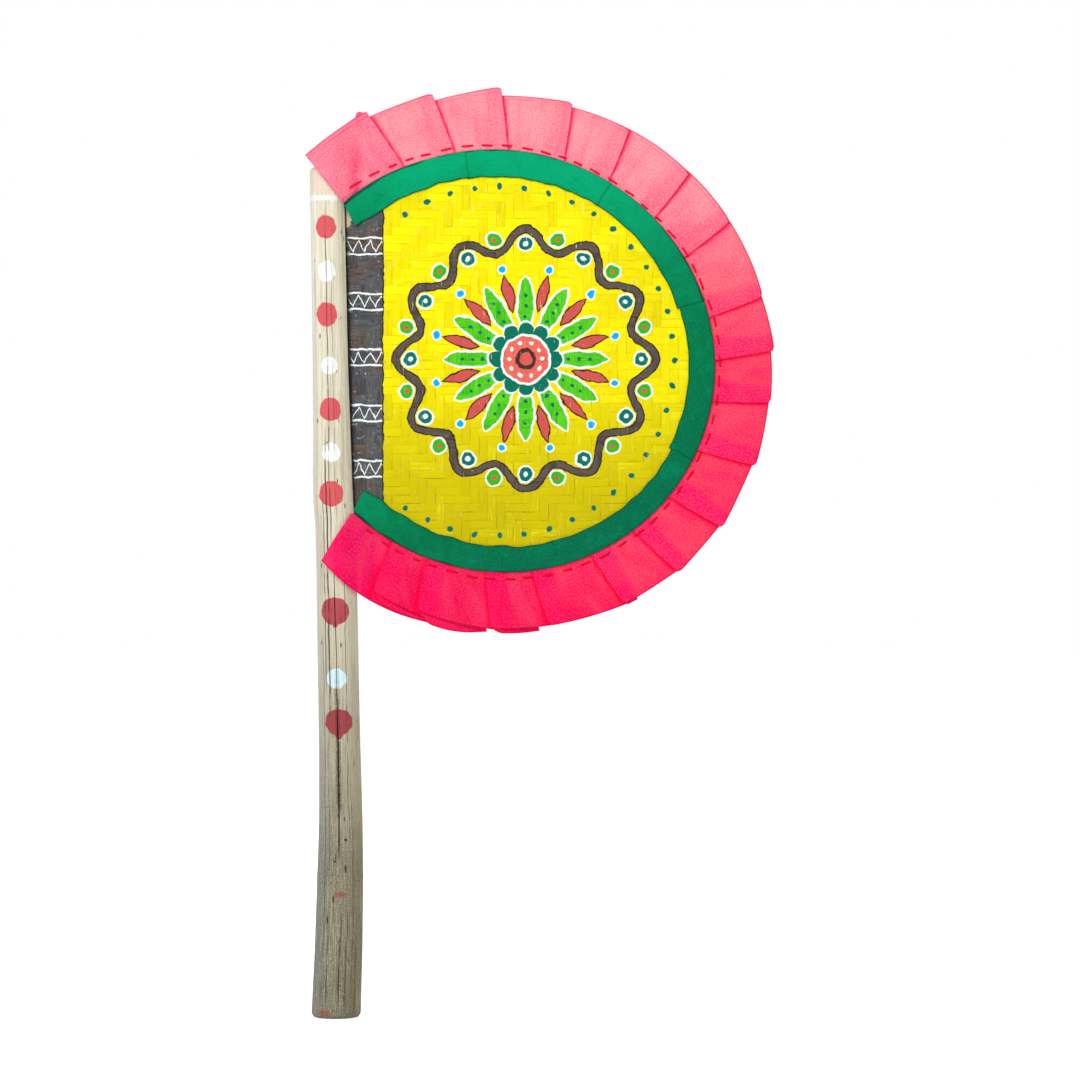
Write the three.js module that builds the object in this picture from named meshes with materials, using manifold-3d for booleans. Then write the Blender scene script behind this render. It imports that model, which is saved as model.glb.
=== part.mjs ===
// Bamboo hand fan.
// A round bamboo handle carries a blade of woven bamboo splints along one side.
// The curved rim of the blade is bound with green cloth tape, and one pink ribbon,
// folded into knife pleats, stands out round it as a frill.
// Millimetres. +Z runs up the handle, the painted face looks towards -Y,
// and the origin is the middle of the handle's foot.

import * as THREE from 'three';
import { mergeVertices } from 'three/addons/utils/BufferGeometryUtils.js';
import Module from 'manifold-3d';

const wasm = await Module();
wasm.setup();

// Handle: one length of bamboo that bends a little at its lower joint
const HANDLE_LENGTH = 374;
const LOWER_NODE_HEIGHT = 62;
const UPPER_NODE_BELOW_TOP = 13;
const LOWER_NODE_SHIFT = 1.9;
const TOP_SHIFT = -4.1;
const FOOT_RADIUS = 11;
const LOWER_NODE_RADIUS = 10.1;
const GRIP_HEIGHT = 110;
const GRIP_RADIUS = 9.2;
const BLADE_FOOT_BELOW_CENTRE = 61;
const BLADE_FOOT_RADIUS = 9;
const BLADE_MIDDLE_RADIUS = 7.95;
const TOP_RADIUS = 7.65;
const NODE_SWELL = 0.35;
const NODE_SWELL_LENGTH = 8;
const BORE_RADIUS = 4.2;
const NODE_WALL = 3;
const END_ROUNDING = 2.6;
const CULM_SIDES = 20;
const BORE_SIDES = 12;

// Drying crack on the front of the handle, above the lower joint
const CRACK_LENGTH = 135;
const CRACK_WIDTH = 1.2;
const CRACK_SIDE_SHIFT = -0.8;

// Blade: nearly round, cut straight where it enters the handle
const CENTRE_BELOW_TOP = 85.4;
const CENTRE_FROM_HANDLE_AXIS = 74.4;
const RIM_RADIUS = 93.7;
const RIM_OVAL = 1.6;
const RIM_OVAL_ANGLE = 28;
const TOP_CORNER_FLARE = 2.2;
const TOP_CORNER_FROM_ANGLE = 104;
const TOP_CORNER_TO_ANGLE = 134;
const RIM_SEGMENTS = 90;

// Weave: each strip stands for two neighbouring splints, and the counts are the weaver's
const UPRIGHT_STRIP_COUNT = 22;
const CROSS_STRIP_COUNT = 25;
const SPLINT_THICKNESS = 0.35;
const STRIP_GAP = 1;
const WEAVE_CLEARANCE = 0.3;
const TWILL_FLOAT_COUNT = 2;
const HERRINGBONE_TURN_ROW = 12;
const RAMP_INSET = 0.15;

// Green tape, in six lengths on the front and one on the back
const TAPE_WIDTH = 11.7;
const TAPE_THICKNESS = 0.35;
const TAPE_OVER_RIM = 0.6;
const TAPE_JOIN_ANGLES = [100, 58.5, 17, -26.5, -73];
const TAPE_END_SLANT_ANGLE = 2.4;
const TAPE_RISE_RUN = 0.9;
const TAPE_STEP_ANGLE = 7.5;

// Pink frill: one ribbon, the angles are the folds that show, from the top end round to the foot end
const FRILL_SHOWS = 26;
const FRILL_MARGIN = 6;
const FRILL_THICKNESS = 0.3;
const PLEAT_FOLD_ANGLES = [
  117, 103, 88.5, 73, 59.5, 43.5, 30, 12.5, 1, -10, -23.5, -38, -51, -64, -80.5, -93, -109.5, -120,
];
const PLEAT_SLANT_ANGLE = 2;
const PLEAT_OVERLAP_AT_RIM = 10.4;
const PLEAT_OVERLAP_AT_HEM = 7;
const PLEAT_LAYER_GAP = 0.25;
const PLEAT_RISE_AT_HEM = 3;
const FRILL_LINES_OUTSIDE = 4;
const FRILL_END_STEPS = 7;
const FRILL_END_SHORT_ANGLE = 0.5;
const FRILL_END_SET_BACK_ANGLE = 3.2;

// Where the frill's ends climb over the handle
const CLIMB_BESIDE_HANDLE = 7;
const CLIMB_RUN = 3;
const FRILL_OVER_HANDLE = 0.9;

// Running stitch through the pleats
const STITCH_OUT = 2.2;
const THREAD_WIDTH = 0.45;
const THREAD_END_SHORT_ANGLE = 6.5;
const THREAD_STEP_ANGLE = 6;

// Glue along the mat's straight edge, inside the handle's bore
const GLUE_DEPTH = 3;
const GLUE_END_SHORT = 4.5;

// Clearances
const SEAT_GAP = 0.3;
const SLOT_GAP = 0.3;
const HANDLE_GAP = 0.4;
const MAT_PAST_AXIS = 0.6;
const SCAN_STEP_ANGLE = 0.25;

const MAT_HALF = SPLINT_THICKNESS + WEAVE_CLEARANCE / 2;
const FRILL_BASE = MAT_HALF + SEAT_GAP;
const PLEAT_RISE_AT_RIM = 2 * (FRILL_THICKNESS + PLEAT_LAYER_GAP);
const BLADE_HEIGHT = HANDLE_LENGTH - CENTRE_BELOW_TOP;
const BLADE_FOOT_HEIGHT = BLADE_HEIGHT - BLADE_FOOT_BELOW_CENTRE;
const UPPER_NODE_HEIGHT = HANDLE_LENGTH - UPPER_NODE_BELOW_TOP;
const BLADE_CENTRE_X = axisX(BLADE_HEIGHT) + CENTRE_FROM_HANDLE_AXIS;

function smooth(value) {
  const t = Math.min(Math.max(value, 0), 1);
  return t * t * (3 - 2 * t);
}

function between(points, height) {
  for (let i = 1; i < points.length; i++) {
    const [z0, v0] = points[i - 1];
    const [z1, v1] = points[i];
    if (height <= z1 || i === points.length - 1) {
      return v0 + (v1 - v0) * (height - z0) / (z1 - z0);
    }
  }
  return points[0][1];
}

// The handle's middle line leans one way up to the lower joint, and the other way above it
function axisX(height) {
  return between([[0, 0], [LOWER_NODE_HEIGHT, LOWER_NODE_SHIFT], [HANDLE_LENGTH, TOP_SHIFT]], height);
}

function nodeSwell(height, node) {
  return NODE_SWELL * (1 - smooth(Math.abs(height - node) / (NODE_SWELL_LENGTH / 2)));
}

function culmRadius(height) {
  const taper = between([
    [0, FOOT_RADIUS],
    [LOWER_NODE_HEIGHT, LOWER_NODE_RADIUS],
    [GRIP_HEIGHT, GRIP_RADIUS],
    [BLADE_FOOT_HEIGHT, BLADE_FOOT_RADIUS],
    [BLADE_HEIGHT, BLADE_MIDDLE_RADIUS],
    [HANDLE_LENGTH, TOP_RADIUS],
  ], height);
  return taper + nodeSwell(height, LOWER_NODE_HEIGHT) + nodeSwell(height, UPPER_NODE_HEIGHT);
}

// The rim is hand cut: a little oval, and fuller at the top corner by the handle
function rimRadius(angle) {
  const oval = RIM_OVAL * Math.cos(THREE.MathUtils.degToRad(2 * (angle + RIM_OVAL_ANGLE)));
  const intoCorner = (angle - TOP_CORNER_FROM_ANGLE) / (TOP_CORNER_TO_ANGLE - TOP_CORNER_FROM_ANGLE);
  const flare = TOP_CORNER_FLARE * smooth(intoCorner);
  return RIM_RADIUS + oval + flare;
}

// How far the frill is lifted off the mat where it climbs over the round handle
function climb(x, height, out) {
  const wrap = culmRadius(height) + FRILL_OVER_HANDLE;
  const away = x - axisX(height);
  const start = wrap + CLIMB_BESIDE_HANDLE;
  const touch = Math.atan2(FRILL_BASE, start) + Math.acos(wrap / Math.hypot(start, FRILL_BASE));
  const touchX = wrap * Math.cos(touch);
  const touchLift = wrap * Math.sin(touch);
  let lift = FRILL_BASE;
  if (away < 0) {
    lift = wrap;
  } else if (away < touchX) {
    lift = Math.sqrt(wrap * wrap - away * away);
  } else if (away < start) {
    lift += (start - away) * (touchLift - FRILL_BASE) / (start - touchX);
  }
  return (lift - FRILL_BASE) * smooth(out / CLIMB_RUN);
}

// A point by its angle round the blade, its distance outside the tape's edge and its lift off the mat's middle
function rimPoint(angle, out, lift) {
  const turn = THREE.MathUtils.degToRad(angle);
  const radius = rimRadius(angle) + out;
  const x = BLADE_CENTRE_X + radius * Math.cos(turn);
  const z = BLADE_HEIGHT + radius * Math.sin(turn);
  return new THREE.Vector3(x, -lift - climb(x, z, out), z);
}

// Builds a closed body from triangles, turned so that its faces look outward
function closedBody(triangles) {
  let volume = 0;
  const corner = new THREE.Vector3();
  for (const [a, b, c] of triangles) {
    volume += corner.crossVectors(a, b).dot(c);
  }
  const positions = [];
  for (const [a, b, c] of triangles) {
    const turned = volume < 0 ? [a, c, b] : [a, b, c];
    turned.forEach((point) => positions.push(point.x, point.y, point.z));
  }
  const geometry = new THREE.BufferGeometry();
  geometry.setAttribute('position', new THREE.Float32BufferAttribute(positions, 3));
  return mergeVertices(geometry, 1e-4);
}

function quad(triangles, a, b, c, d) {
  for (const face of [[a, b, c], [a, c, d]]) {
    const [p, q, r] = face;
    if (p !== q && q !== r && r !== p) {
      triangles.push(face);
    }
  }
}

// A sheet with a thickness: each row is a line across it, with its front points and its back points
function sheet(rows) {
  const triangles = [];
  const last = rows[0].front.length - 1;
  for (let j = 1; j < rows.length; j++) {
    const here = rows[j - 1];
    const next = rows[j];
    for (let i = 1; i <= last; i++) {
      quad(triangles, here.front[i - 1], here.front[i], next.front[i], next.front[i - 1]);
      quad(triangles, here.back[i], here.back[i - 1], next.back[i - 1], next.back[i]);
    }
    quad(triangles, here.back[0], here.front[0], next.front[0], next.back[0]);
    quad(triangles, here.front[last], here.back[last], next.back[last], next.front[last]);
  }
  const first = rows[0];
  const end = rows[rows.length - 1];
  for (let i = 1; i <= last; i++) {
    quad(triangles, first.front[i], first.front[i - 1], first.back[i - 1], first.back[i]);
    quad(triangles, end.front[i - 1], end.front[i], end.back[i], end.back[i - 1]);
  }
  return closedBody(triangles);
}

// A round bar that follows the handle's middle line, with its radius given at each height
function roundBar(stations, sides) {
  const rings = stations.map(([z, radius]) => {
    const ring = [];
    for (let i = 0; i < sides; i++) {
      const turn = 2 * Math.PI * (i + 0.5) / sides;
      ring.push(new THREE.Vector3(axisX(z) + radius * Math.cos(turn), radius * Math.sin(turn), z));
    }
    return ring;
  });
  const triangles = [];
  for (let j = 1; j < rings.length; j++) {
    for (let i = 0; i < sides; i++) {
      const k = (i + 1) % sides;
      quad(triangles, rings[j - 1][i], rings[j - 1][k], rings[j][k], rings[j][i]);
    }
  }
  const foot = new THREE.Vector3(axisX(stations[0][0]), 0, stations[0][0]);
  const headHeight = stations[stations.length - 1][0];
  const head = new THREE.Vector3(axisX(headHeight), 0, headHeight);
  const headRing = rings[rings.length - 1];
  for (let i = 0; i < sides; i++) {
    const k = (i + 1) % sides;
    triangles.push([foot, rings[0][k], rings[0][i]]);
    triangles.push([head, headRing[i], headRing[k]]);
  }
  return closedBody(triangles);
}

function toSolid(geometry) {
  const bare = geometry.clone();
  bare.deleteAttribute('normal');
  bare.deleteAttribute('uv');
  const merged = mergeVertices(bare, 1e-4);
  return new wasm.Manifold(new wasm.Mesh({
    numProp: 3,
    vertProperties: new Float32Array(merged.attributes.position.array),
    triVerts: new Uint32Array(merged.index.array),
  }));
}

function toGeometry(solid) {
  const mesh = solid.getMesh();
  const geometry = new THREE.BufferGeometry();
  geometry.setAttribute('position', new THREE.Float32BufferAttribute(mesh.vertProperties, 3));
  geometry.setIndex(new THREE.Uint32BufferAttribute(mesh.triVerts, 1));
  return geometry;
}

const culmFinish = new THREE.MeshStandardMaterial({ color: 0xd6d0b4, roughness: 0.55, metalness: 0 });
const splintFinish = new THREE.MeshStandardMaterial({ color: 0xf0dc08, roughness: 0.6, metalness: 0 });
const tapeFinish = new THREE.MeshStandardMaterial({ color: 0x008a60, roughness: 0.9, metalness: 0 });
const frillFinish = new THREE.MeshStandardMaterial({ color: 0xff5c80, roughness: 0.85, metalness: 0 });
const threadFinish = new THREE.MeshStandardMaterial({ color: 0xd80f3c, roughness: 0.8, metalness: 0 });
const glueFinish = new THREE.MeshStandardMaterial({ color: 0xc9a860, roughness: 0.35, metalness: 0 });

const fan = new THREE.Group();

function addPiece(name, geometry, material) {
  geometry.computeVertexNormals();
  const piece = new THREE.Mesh(geometry, material);
  piece.name = name;
  fan.add(piece);
}

function numbered(name, index) {
  return `${name}_${String(index + 1).padStart(2, '0')}`;
}

// The blade's curved edge is scanned from its widest point towards the handle
function meetsHandle(side, out, gap) {
  let angle = 90;
  let point = rimPoint(side * angle, out, MAT_HALF);
  while (point.x > axisX(point.z) + culmRadius(point.z) + gap) {
    angle += SCAN_STEP_ANGLE;
    point = rimPoint(side * angle, out, MAT_HALF);
  }
  return { angle: side * angle, height: point.z };
}

const matTop = meetsHandle(1, -TAPE_OVER_RIM, 0).height;
const matFoot = meetsHandle(-1, -TAPE_OVER_RIM, 0).height;
const tapeTopEnd = meetsHandle(1, 0, HANDLE_GAP).angle;
const tapeFootEnd = meetsHandle(-1, 0, HANDLE_GAP).angle;

// Handle: the outside, less the three lengths of bore, the mat's slot and the drying crack
function handleOutside() {
  const nodes = [LOWER_NODE_HEIGHT, UPPER_NODE_HEIGHT];
  const parts = [-0.5, -0.15, 0.15, 0.5];
  const around = nodes.flatMap((node) => parts.map((part) => node + part * NODE_SWELL_LENGTH));
  const plain = [3 * END_ROUNDING, GRIP_HEIGHT, BLADE_FOOT_HEIGHT, BLADE_HEIGHT];
  const heights = [...around, ...plain].sort((a, b) => a - b);
  const rounding = [0, 0.3, 1].map((part) => [
    END_ROUNDING * part,
    END_ROUNDING * (1 - Math.sqrt(part * (2 - part))),
  ]);
  const foot = rounding.map(([rise, shy]) => [rise, culmRadius(rise) - shy]);
  const head = rounding.map(([rise, shy]) => [HANDLE_LENGTH - rise, culmRadius(HANDLE_LENGTH) - shy]).reverse();
  return toSolid(roundBar([...foot, ...heights.map((z) => [z, culmRadius(z)]), ...head], CULM_SIDES));
}

function bore(from, to) {
  return toSolid(roundBar([[from, BORE_RADIUS], [to, BORE_RADIUS]], BORE_SIDES));
}

function matSlot() {
  const opening = MAT_HALF + SLOT_GAP;
  const reach = 2 * FOOT_RADIUS;
  const rows = [matFoot - 2 * SLOT_GAP, matTop + 2 * SLOT_GAP].map((z) => ({
    front: [new THREE.Vector3(axisX(z), -opening, z), new THREE.Vector3(axisX(z) + reach, -opening, z)],
    back: [new THREE.Vector3(axisX(z), opening, z), new THREE.Vector3(axisX(z) + reach, opening, z)],
  }));
  return toSolid(sheet(rows));
}

function dryingCrack() {
  const from = LOWER_NODE_HEIGHT + NODE_SWELL_LENGTH;
  const shape = [[0, 0.1], [0.3, 1], [0.7, 0.7], [1, 0.1]];
  const rows = shape.map(([part, width]) => {
    const z = from + CRACK_LENGTH * part;
    const middle = axisX(z) + CRACK_SIDE_SHIFT;
    const half = CRACK_WIDTH * width / 2;
    const line = (y) => [new THREE.Vector3(middle - half, y, z), new THREE.Vector3(middle + half, y, z)];
    return { front: line(-2 * FOOT_RADIUS), back: line(0) };
  });
  return toSolid(sheet(rows));
}

const handleCulm = handleOutside()
  .subtract(bore(-END_ROUNDING, LOWER_NODE_HEIGHT - NODE_WALL / 2))
  .subtract(bore(LOWER_NODE_HEIGHT + NODE_WALL / 2, UPPER_NODE_HEIGHT - NODE_WALL / 2))
  .subtract(bore(UPPER_NODE_HEIGHT + NODE_WALL / 2, HANDLE_LENGTH + END_ROUNDING))
  .subtract(matSlot())
  .subtract(dryingCrack());
addPiece('handle_culm', toGeometry(handleCulm), culmFinish);

// Mat outline: the rim just inside the tape's edge, cut off along the handle's bore
const CUT_DEPTH = 4 * MAT_HALF;

function matEdgeX(height) {
  return axisX(height) - MAT_PAST_AXIS;
}

function rimDisc() {
  const outline = [];
  for (let i = 0; i < RIM_SEGMENTS; i++) {
    const point = rimPoint(180 - 360 * i / RIM_SEGMENTS, -TAPE_OVER_RIM, MAT_HALF);
    outline.push(new THREE.Vector2(point.x, point.z));
  }
  const shape = new THREE.Shape(outline);
  const disc = new THREE.ExtrudeGeometry(shape, { depth: 2 * CUT_DEPTH, bevelEnabled: false });
  disc.rotateX(Math.PI / 2);
  disc.translate(0, CUT_DEPTH, 0);
  return toSolid(disc);
}

function besideMat() {
  const far = 3 * RIM_RADIUS;
  const rows = [LOWER_NODE_HEIGHT, HANDLE_LENGTH + RIM_RADIUS].map((z) => ({
    front: [new THREE.Vector3(-far, -2 * CUT_DEPTH, z), new THREE.Vector3(matEdgeX(z), -2 * CUT_DEPTH, z)],
    back: [new THREE.Vector3(-far, 2 * CUT_DEPTH, z), new THREE.Vector3(matEdgeX(z), 2 * CUT_DEPTH, z)],
  }));
  return toSolid(sheet(rows));
}

const matShape = rimDisc().subtract(besideMat());

// Layout of the weave
const rimRight = rimPoint(0, -TAPE_OVER_RIM, MAT_HALF).x;
const rimTop = rimPoint(90, -TAPE_OVER_RIM, MAT_HALF).z;
const rimFoot = rimPoint(-90, -TAPE_OVER_RIM, MAT_HALF).z;
const firstUpright = matEdgeX(matFoot);
const uprightPitch = (rimRight - firstUpright) / UPRIGHT_STRIP_COUNT;
const crossPitch = (rimTop - rimFoot) / CROSS_STRIP_COUNT;
const uprights = { first: firstUpright, count: UPRIGHT_STRIP_COUNT, pitch: uprightPitch };
const crosses = { first: rimFoot, count: CROSS_STRIP_COUNT, pitch: crossPitch };

// A twill that turns back on itself: an upright strip goes over two cross strips, then under two
function uprightInFront(upright, cross) {
  const slant = cross < HERRINGBONE_TURN_ROW ? cross : 2 * HERRINGBONE_TURN_ROW - cross;
  const round = 2 * TWILL_FLOAT_COUNT;
  return (((upright + slant) % round) + round) % round < TWILL_FLOAT_COUNT;
}

// Path of one strip of the set own over the strips of the set over: its level at each crossing,
// and a ramp in the gap where the level changes
function strip(own, over, levelAt, place) {
  const level = (SPLINT_THICKNESS + WEAVE_CLEARANCE) / 2;
  const stops = [[over.first - over.pitch, levelAt(0) * level]];
  for (let k = 1; k < over.count; k++) {
    if (levelAt(k) !== levelAt(k - 1)) {
      const middle = over.first + k * over.pitch;
      const half = STRIP_GAP / 2 - RAMP_INSET;
      stops.push([middle - half, levelAt(k - 1) * level]);
      stops.push([middle + half, levelAt(k) * level]);
    }
  }
  stops.push([over.first + (over.count + 1) * over.pitch, levelAt(over.count - 1) * level]);
  const half = (own.pitch - STRIP_GAP) / 2;
  const rows = stops.map(([along, lift]) => {
    const line = (y) => [place(-half, along, y), place(half, along, y)];
    return { front: line(-lift - SPLINT_THICKNESS / 2), back: line(-lift + SPLINT_THICKNESS / 2) };
  });
  return toGeometry(toSolid(sheet(rows)).intersect(matShape));
}

for (let i = 0; i < uprights.count; i++) {
  const middle = uprights.first + (i + 0.5) * uprights.pitch;
  const levelAt = (k) => (uprightInFront(i, k) ? 1 : -1);
  const place = (across, along, y) => new THREE.Vector3(middle + across, y, along);
  addPiece(numbered('upright_splints', i), strip(uprights, crosses, levelAt, place), splintFinish);
}

for (let k = 0; k < crosses.count; k++) {
  const middle = crosses.first + (k + 0.5) * crosses.pitch;
  const levelAt = (i) => (uprightInFront(i, k) ? -1 : 1);
  const place = (across, along, y) => new THREE.Vector3(along, y, middle + across);
  addPiece(numbered('cross_splints', k), strip(crosses, uprights, levelAt, place), splintFinish);
}

// Frill: one pleated ribbon. Each line round it is worked out at its own distance outside the tape's edge
function pleatRise(out) {
  const part = Math.max(out, 0) / FRILL_SHOWS;
  return PLEAT_RISE_AT_RIM + (PLEAT_RISE_AT_HEM - PLEAT_RISE_AT_RIM) * part;
}

function frillLine(out) {
  const shown = Math.max(out, 0) / FRILL_SHOWS;
  const setBack = FRILL_END_SET_BACK_ANGLE * (1 - Math.min(Math.max(out / CLIMB_RUN, 0), 1));
  const start = tapeTopEnd - FRILL_END_SHORT_ANGLE - setBack;
  const length = start - (tapeFootEnd + FRILL_END_SHORT_ANGLE + setBack);
  const overlap = PLEAT_OVERLAP_AT_RIM + (PLEAT_OVERLAP_AT_HEM - PLEAT_OVERLAP_AT_RIM) * shown;
  const rise = pleatRise(out);
  const half = FRILL_THICKNESS / 2;
  const folds = PLEAT_FOLD_ANGLES.map((angle) => {
    const turned = angle + PLEAT_SLANT_ANGLE * (shown - 0.5);
    const showing = start - turned;
    const hidden = showing - THREE.MathUtils.radToDeg(overlap / (rimRadius(turned) + out));
    return { showing, hidden, returnSlope: rise / (showing - hidden) };
  });
  const front = [];
  const back = [];
  const add = (f, b) => {
    front.push(f);
    back.push(b);
  };
  const at = (along, lift) => rimPoint(start - along, out, FRILL_BASE + half + lift);
  let panel = { from: 0, frontFrom: 0, backFrom: 0 };
  const walk = (panelSlope, frontTo, backTo) => {
    for (let n = 1; n < FRILL_END_STEPS; n++) {
      const part = n / FRILL_END_STEPS;
      const f = panel.frontFrom + (frontTo - panel.frontFrom) * part;
      const b = panel.backFrom + (backTo - panel.backFrom) * part;
      add(at(f, (f - panel.from) * panelSlope + half), at(b, (b - panel.from) * panelSlope - half));
    }
  };
  add(at(0, half), at(0, -half));
  folds.forEach((fold, index) => {
    const slope = rise / (fold.showing - panel.from);
    const isLast = index === folds.length - 1;
    const nextSlope = isLast ? 0 : rise / (folds[index + 1].showing - fold.hidden);
    const insideShowing = fold.showing - FRILL_THICKNESS / (fold.returnSlope - slope);
    const insideHidden = fold.hidden + FRILL_THICKNESS / (fold.returnSlope - nextSlope);
    if (index === 0) {
      walk(slope, fold.showing, insideShowing);
    }
    const showingBack = at(insideShowing, (insideShowing - fold.hidden) * fold.returnSlope + half);
    const hiddenFront = at(insideHidden, (insideHidden - fold.hidden) * fold.returnSlope - half);
    add(at(fold.showing, rise + half), showingBack);
    add(at(fold.showing, rise - half), showingBack);
    add(hiddenFront, at(fold.hidden, half));
    add(hiddenFront, at(fold.hidden, -half));
    panel = { from: fold.hidden, frontFrom: insideHidden, backFrom: fold.hidden };
  });
  walk(0, length, length);
  add(at(length, half), at(length, -half));
  return { front, back };
}

function pleatedFrill() {
  const lines = [-FRILL_MARGIN, 0, CLIMB_RUN];
  for (let n = 1; n <= FRILL_LINES_OUTSIDE; n++) {
    lines.push(CLIMB_RUN + (FRILL_SHOWS - CLIMB_RUN) * n / FRILL_LINES_OUTSIDE);
  }
  return sheet(lines.map(frillLine));
}

addPiece('pleated_frill', pleatedFrill(), frillFinish);

// Front tape: lies on the mat at its inner edge and steps up over the frill's margin
const frillMarginTop = FRILL_BASE + FRILL_THICKNESS + PLEAT_RISE_AT_RIM;

function tapeRow(angle, slant) {
  const line = [
    [-TAPE_WIDTH, MAT_HALF + SEAT_GAP],
    [-FRILL_MARGIN - TAPE_RISE_RUN, frillMarginTop + SEAT_GAP],
    [0, frillMarginTop + SEAT_GAP],
  ];
  const point = (out, lift) => rimPoint(angle - slant * out / TAPE_WIDTH, out, lift);
  return {
    front: line.map(([out, lift]) => point(out, lift + TAPE_THICKNESS)),
    back: line.map(([out, lift]) => point(out, lift)),
  };
}

function tapeLength(from, to, slantFrom, slantTo, row) {
  const steps = Math.ceil((from - to) / TAPE_STEP_ANGLE);
  const rows = [];
  for (let n = 0; n <= steps; n++) {
    const slant = n === 0 ? slantFrom : n === steps ? slantTo : 0;
    rows.push(row(from + (to - from) * n / steps, slant));
  }
  return sheet(rows);
}

const joinGap = THREE.MathUtils.radToDeg(SEAT_GAP / (RIM_RADIUS - TAPE_WIDTH)) / 2;
const tapeCuts = [tapeTopEnd, ...TAPE_JOIN_ANGLES, tapeFootEnd];
for (let n = 1; n < tapeCuts.length; n++) {
  const isFirst = n === 1;
  const isLast = n === tapeCuts.length - 1;
  const from = tapeCuts[n - 1] - (isFirst ? 0 : joinGap);
  const to = tapeCuts[n] + (isLast ? 0 : joinGap);
  const slantFrom = isFirst ? TAPE_END_SLANT_ANGLE : 0;
  const slantTo = isLast ? -TAPE_END_SLANT_ANGLE : 0;
  addPiece(numbered('front_tape', n - 1), tapeLength(from, to, slantFrom, slantTo, tapeRow), tapeFinish);
}

// Back tape: flat on the back of the mat, as one length
function backTapeRow(angle, slant) {
  const point = (out, lift) => rimPoint(angle - slant * out / TAPE_WIDTH, out, lift);
  const near = -MAT_HALF - SEAT_GAP;
  return {
    front: [point(-TAPE_WIDTH, near), point(0, near)],
    back: [point(-TAPE_WIDTH, near - TAPE_THICKNESS), point(0, near - TAPE_THICKNESS)],
  };
}

const backTape = tapeLength(tapeTopEnd, tapeFootEnd, TAPE_END_SLANT_ANGLE, -TAPE_END_SLANT_ANGLE, backTapeRow);
addPiece('back_tape', backTape, tapeFinish);

// Running stitch: one thread on top of the pleats
function threadLine() {
  const from = tapeTopEnd - THREAD_END_SHORT_ANGLE;
  const to = tapeFootEnd + THREAD_END_SHORT_ANGLE;
  const steps = Math.ceil((from - to) / THREAD_STEP_ANGLE);
  const low = FRILL_BASE + FRILL_THICKNESS + pleatRise(STITCH_OUT) + SEAT_GAP;
  const rows = [];
  for (let n = 0; n <= steps; n++) {
    const angle = from + (to - from) * n / steps;
    const point = (side, lift) => rimPoint(angle, STITCH_OUT + side * THREAD_WIDTH / 2, lift);
    rows.push({
      front: [point(-1, low + THREAD_WIDTH), point(1, low + THREAD_WIDTH)],
      back: [point(-1, low), point(1, low)],
    });
  }
  return sheet(rows);
}

addPiece('frill_thread', threadLine(), threadFinish);

// Glue bead beside the mat's straight edge
function glueBead() {
  const flatOfBore = BORE_RADIUS * Math.cos(Math.PI / BORE_SIDES);
  const reach = Math.sqrt(flatOfBore ** 2 - (GLUE_DEPTH / 2) ** 2) - SEAT_GAP;
  const rows = [matFoot + GLUE_END_SHORT, matTop - GLUE_END_SHORT].map((z) => {
    const near = matEdgeX(z) - SEAT_GAP;
    const far = axisX(z) - reach;
    return {
      front: [new THREE.Vector3(far, -GLUE_DEPTH / 2, z), new THREE.Vector3(near, -GLUE_DEPTH / 2, z)],
      back: [new THREE.Vector3(far, GLUE_DEPTH / 2, z), new THREE.Vector3(near, GLUE_DEPTH / 2, z)],
    };
  });
  return sheet(rows);
}

addPiece('edge_glue_bead', glueBead(), glueFinish);

export default fan;
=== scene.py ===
# %% [markdown]
# # A painted bamboo hand fan
#
# The fan has a round bamboo handle and, on one side of it, a nearly round mat woven from flat
# bamboo splints. The mat is painted on the front, its rim is bound with green cloth tape, and a pink
# ribbon folded into knife pleats stands out round the rim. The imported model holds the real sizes, so
# this lesson dresses it: each plain solid is replaced by a finely shaped piece in the same place.

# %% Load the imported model
import math
import random

import bpy
import numpy as np
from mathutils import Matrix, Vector


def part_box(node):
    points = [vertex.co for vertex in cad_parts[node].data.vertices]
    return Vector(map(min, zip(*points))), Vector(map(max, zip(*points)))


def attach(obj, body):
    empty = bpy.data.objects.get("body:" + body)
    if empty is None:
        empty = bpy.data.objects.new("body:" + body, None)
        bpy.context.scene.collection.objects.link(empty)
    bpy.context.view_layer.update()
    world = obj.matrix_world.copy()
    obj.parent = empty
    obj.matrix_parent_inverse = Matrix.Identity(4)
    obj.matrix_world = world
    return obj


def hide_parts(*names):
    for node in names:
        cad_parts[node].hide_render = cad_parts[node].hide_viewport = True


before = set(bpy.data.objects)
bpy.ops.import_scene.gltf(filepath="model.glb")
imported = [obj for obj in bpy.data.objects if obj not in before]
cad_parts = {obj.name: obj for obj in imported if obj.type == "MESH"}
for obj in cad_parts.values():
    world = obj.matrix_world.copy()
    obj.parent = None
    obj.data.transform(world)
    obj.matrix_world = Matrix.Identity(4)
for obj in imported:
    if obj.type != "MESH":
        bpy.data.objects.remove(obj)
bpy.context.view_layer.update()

# %% [markdown]
# ## Sizes of the real fan
#
# A maker lays a fan out from a few sizes: the handle's length and thickness, the blade's centre and
# radius, and the width of the tape and the ribbon. They are written here once, in millimetres, and
# every piece below is worked out from them. Functions of the angle round the blade are the simplest
# way to keep the rim, the tape, the ribbon and the stitches in line with each other.

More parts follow.
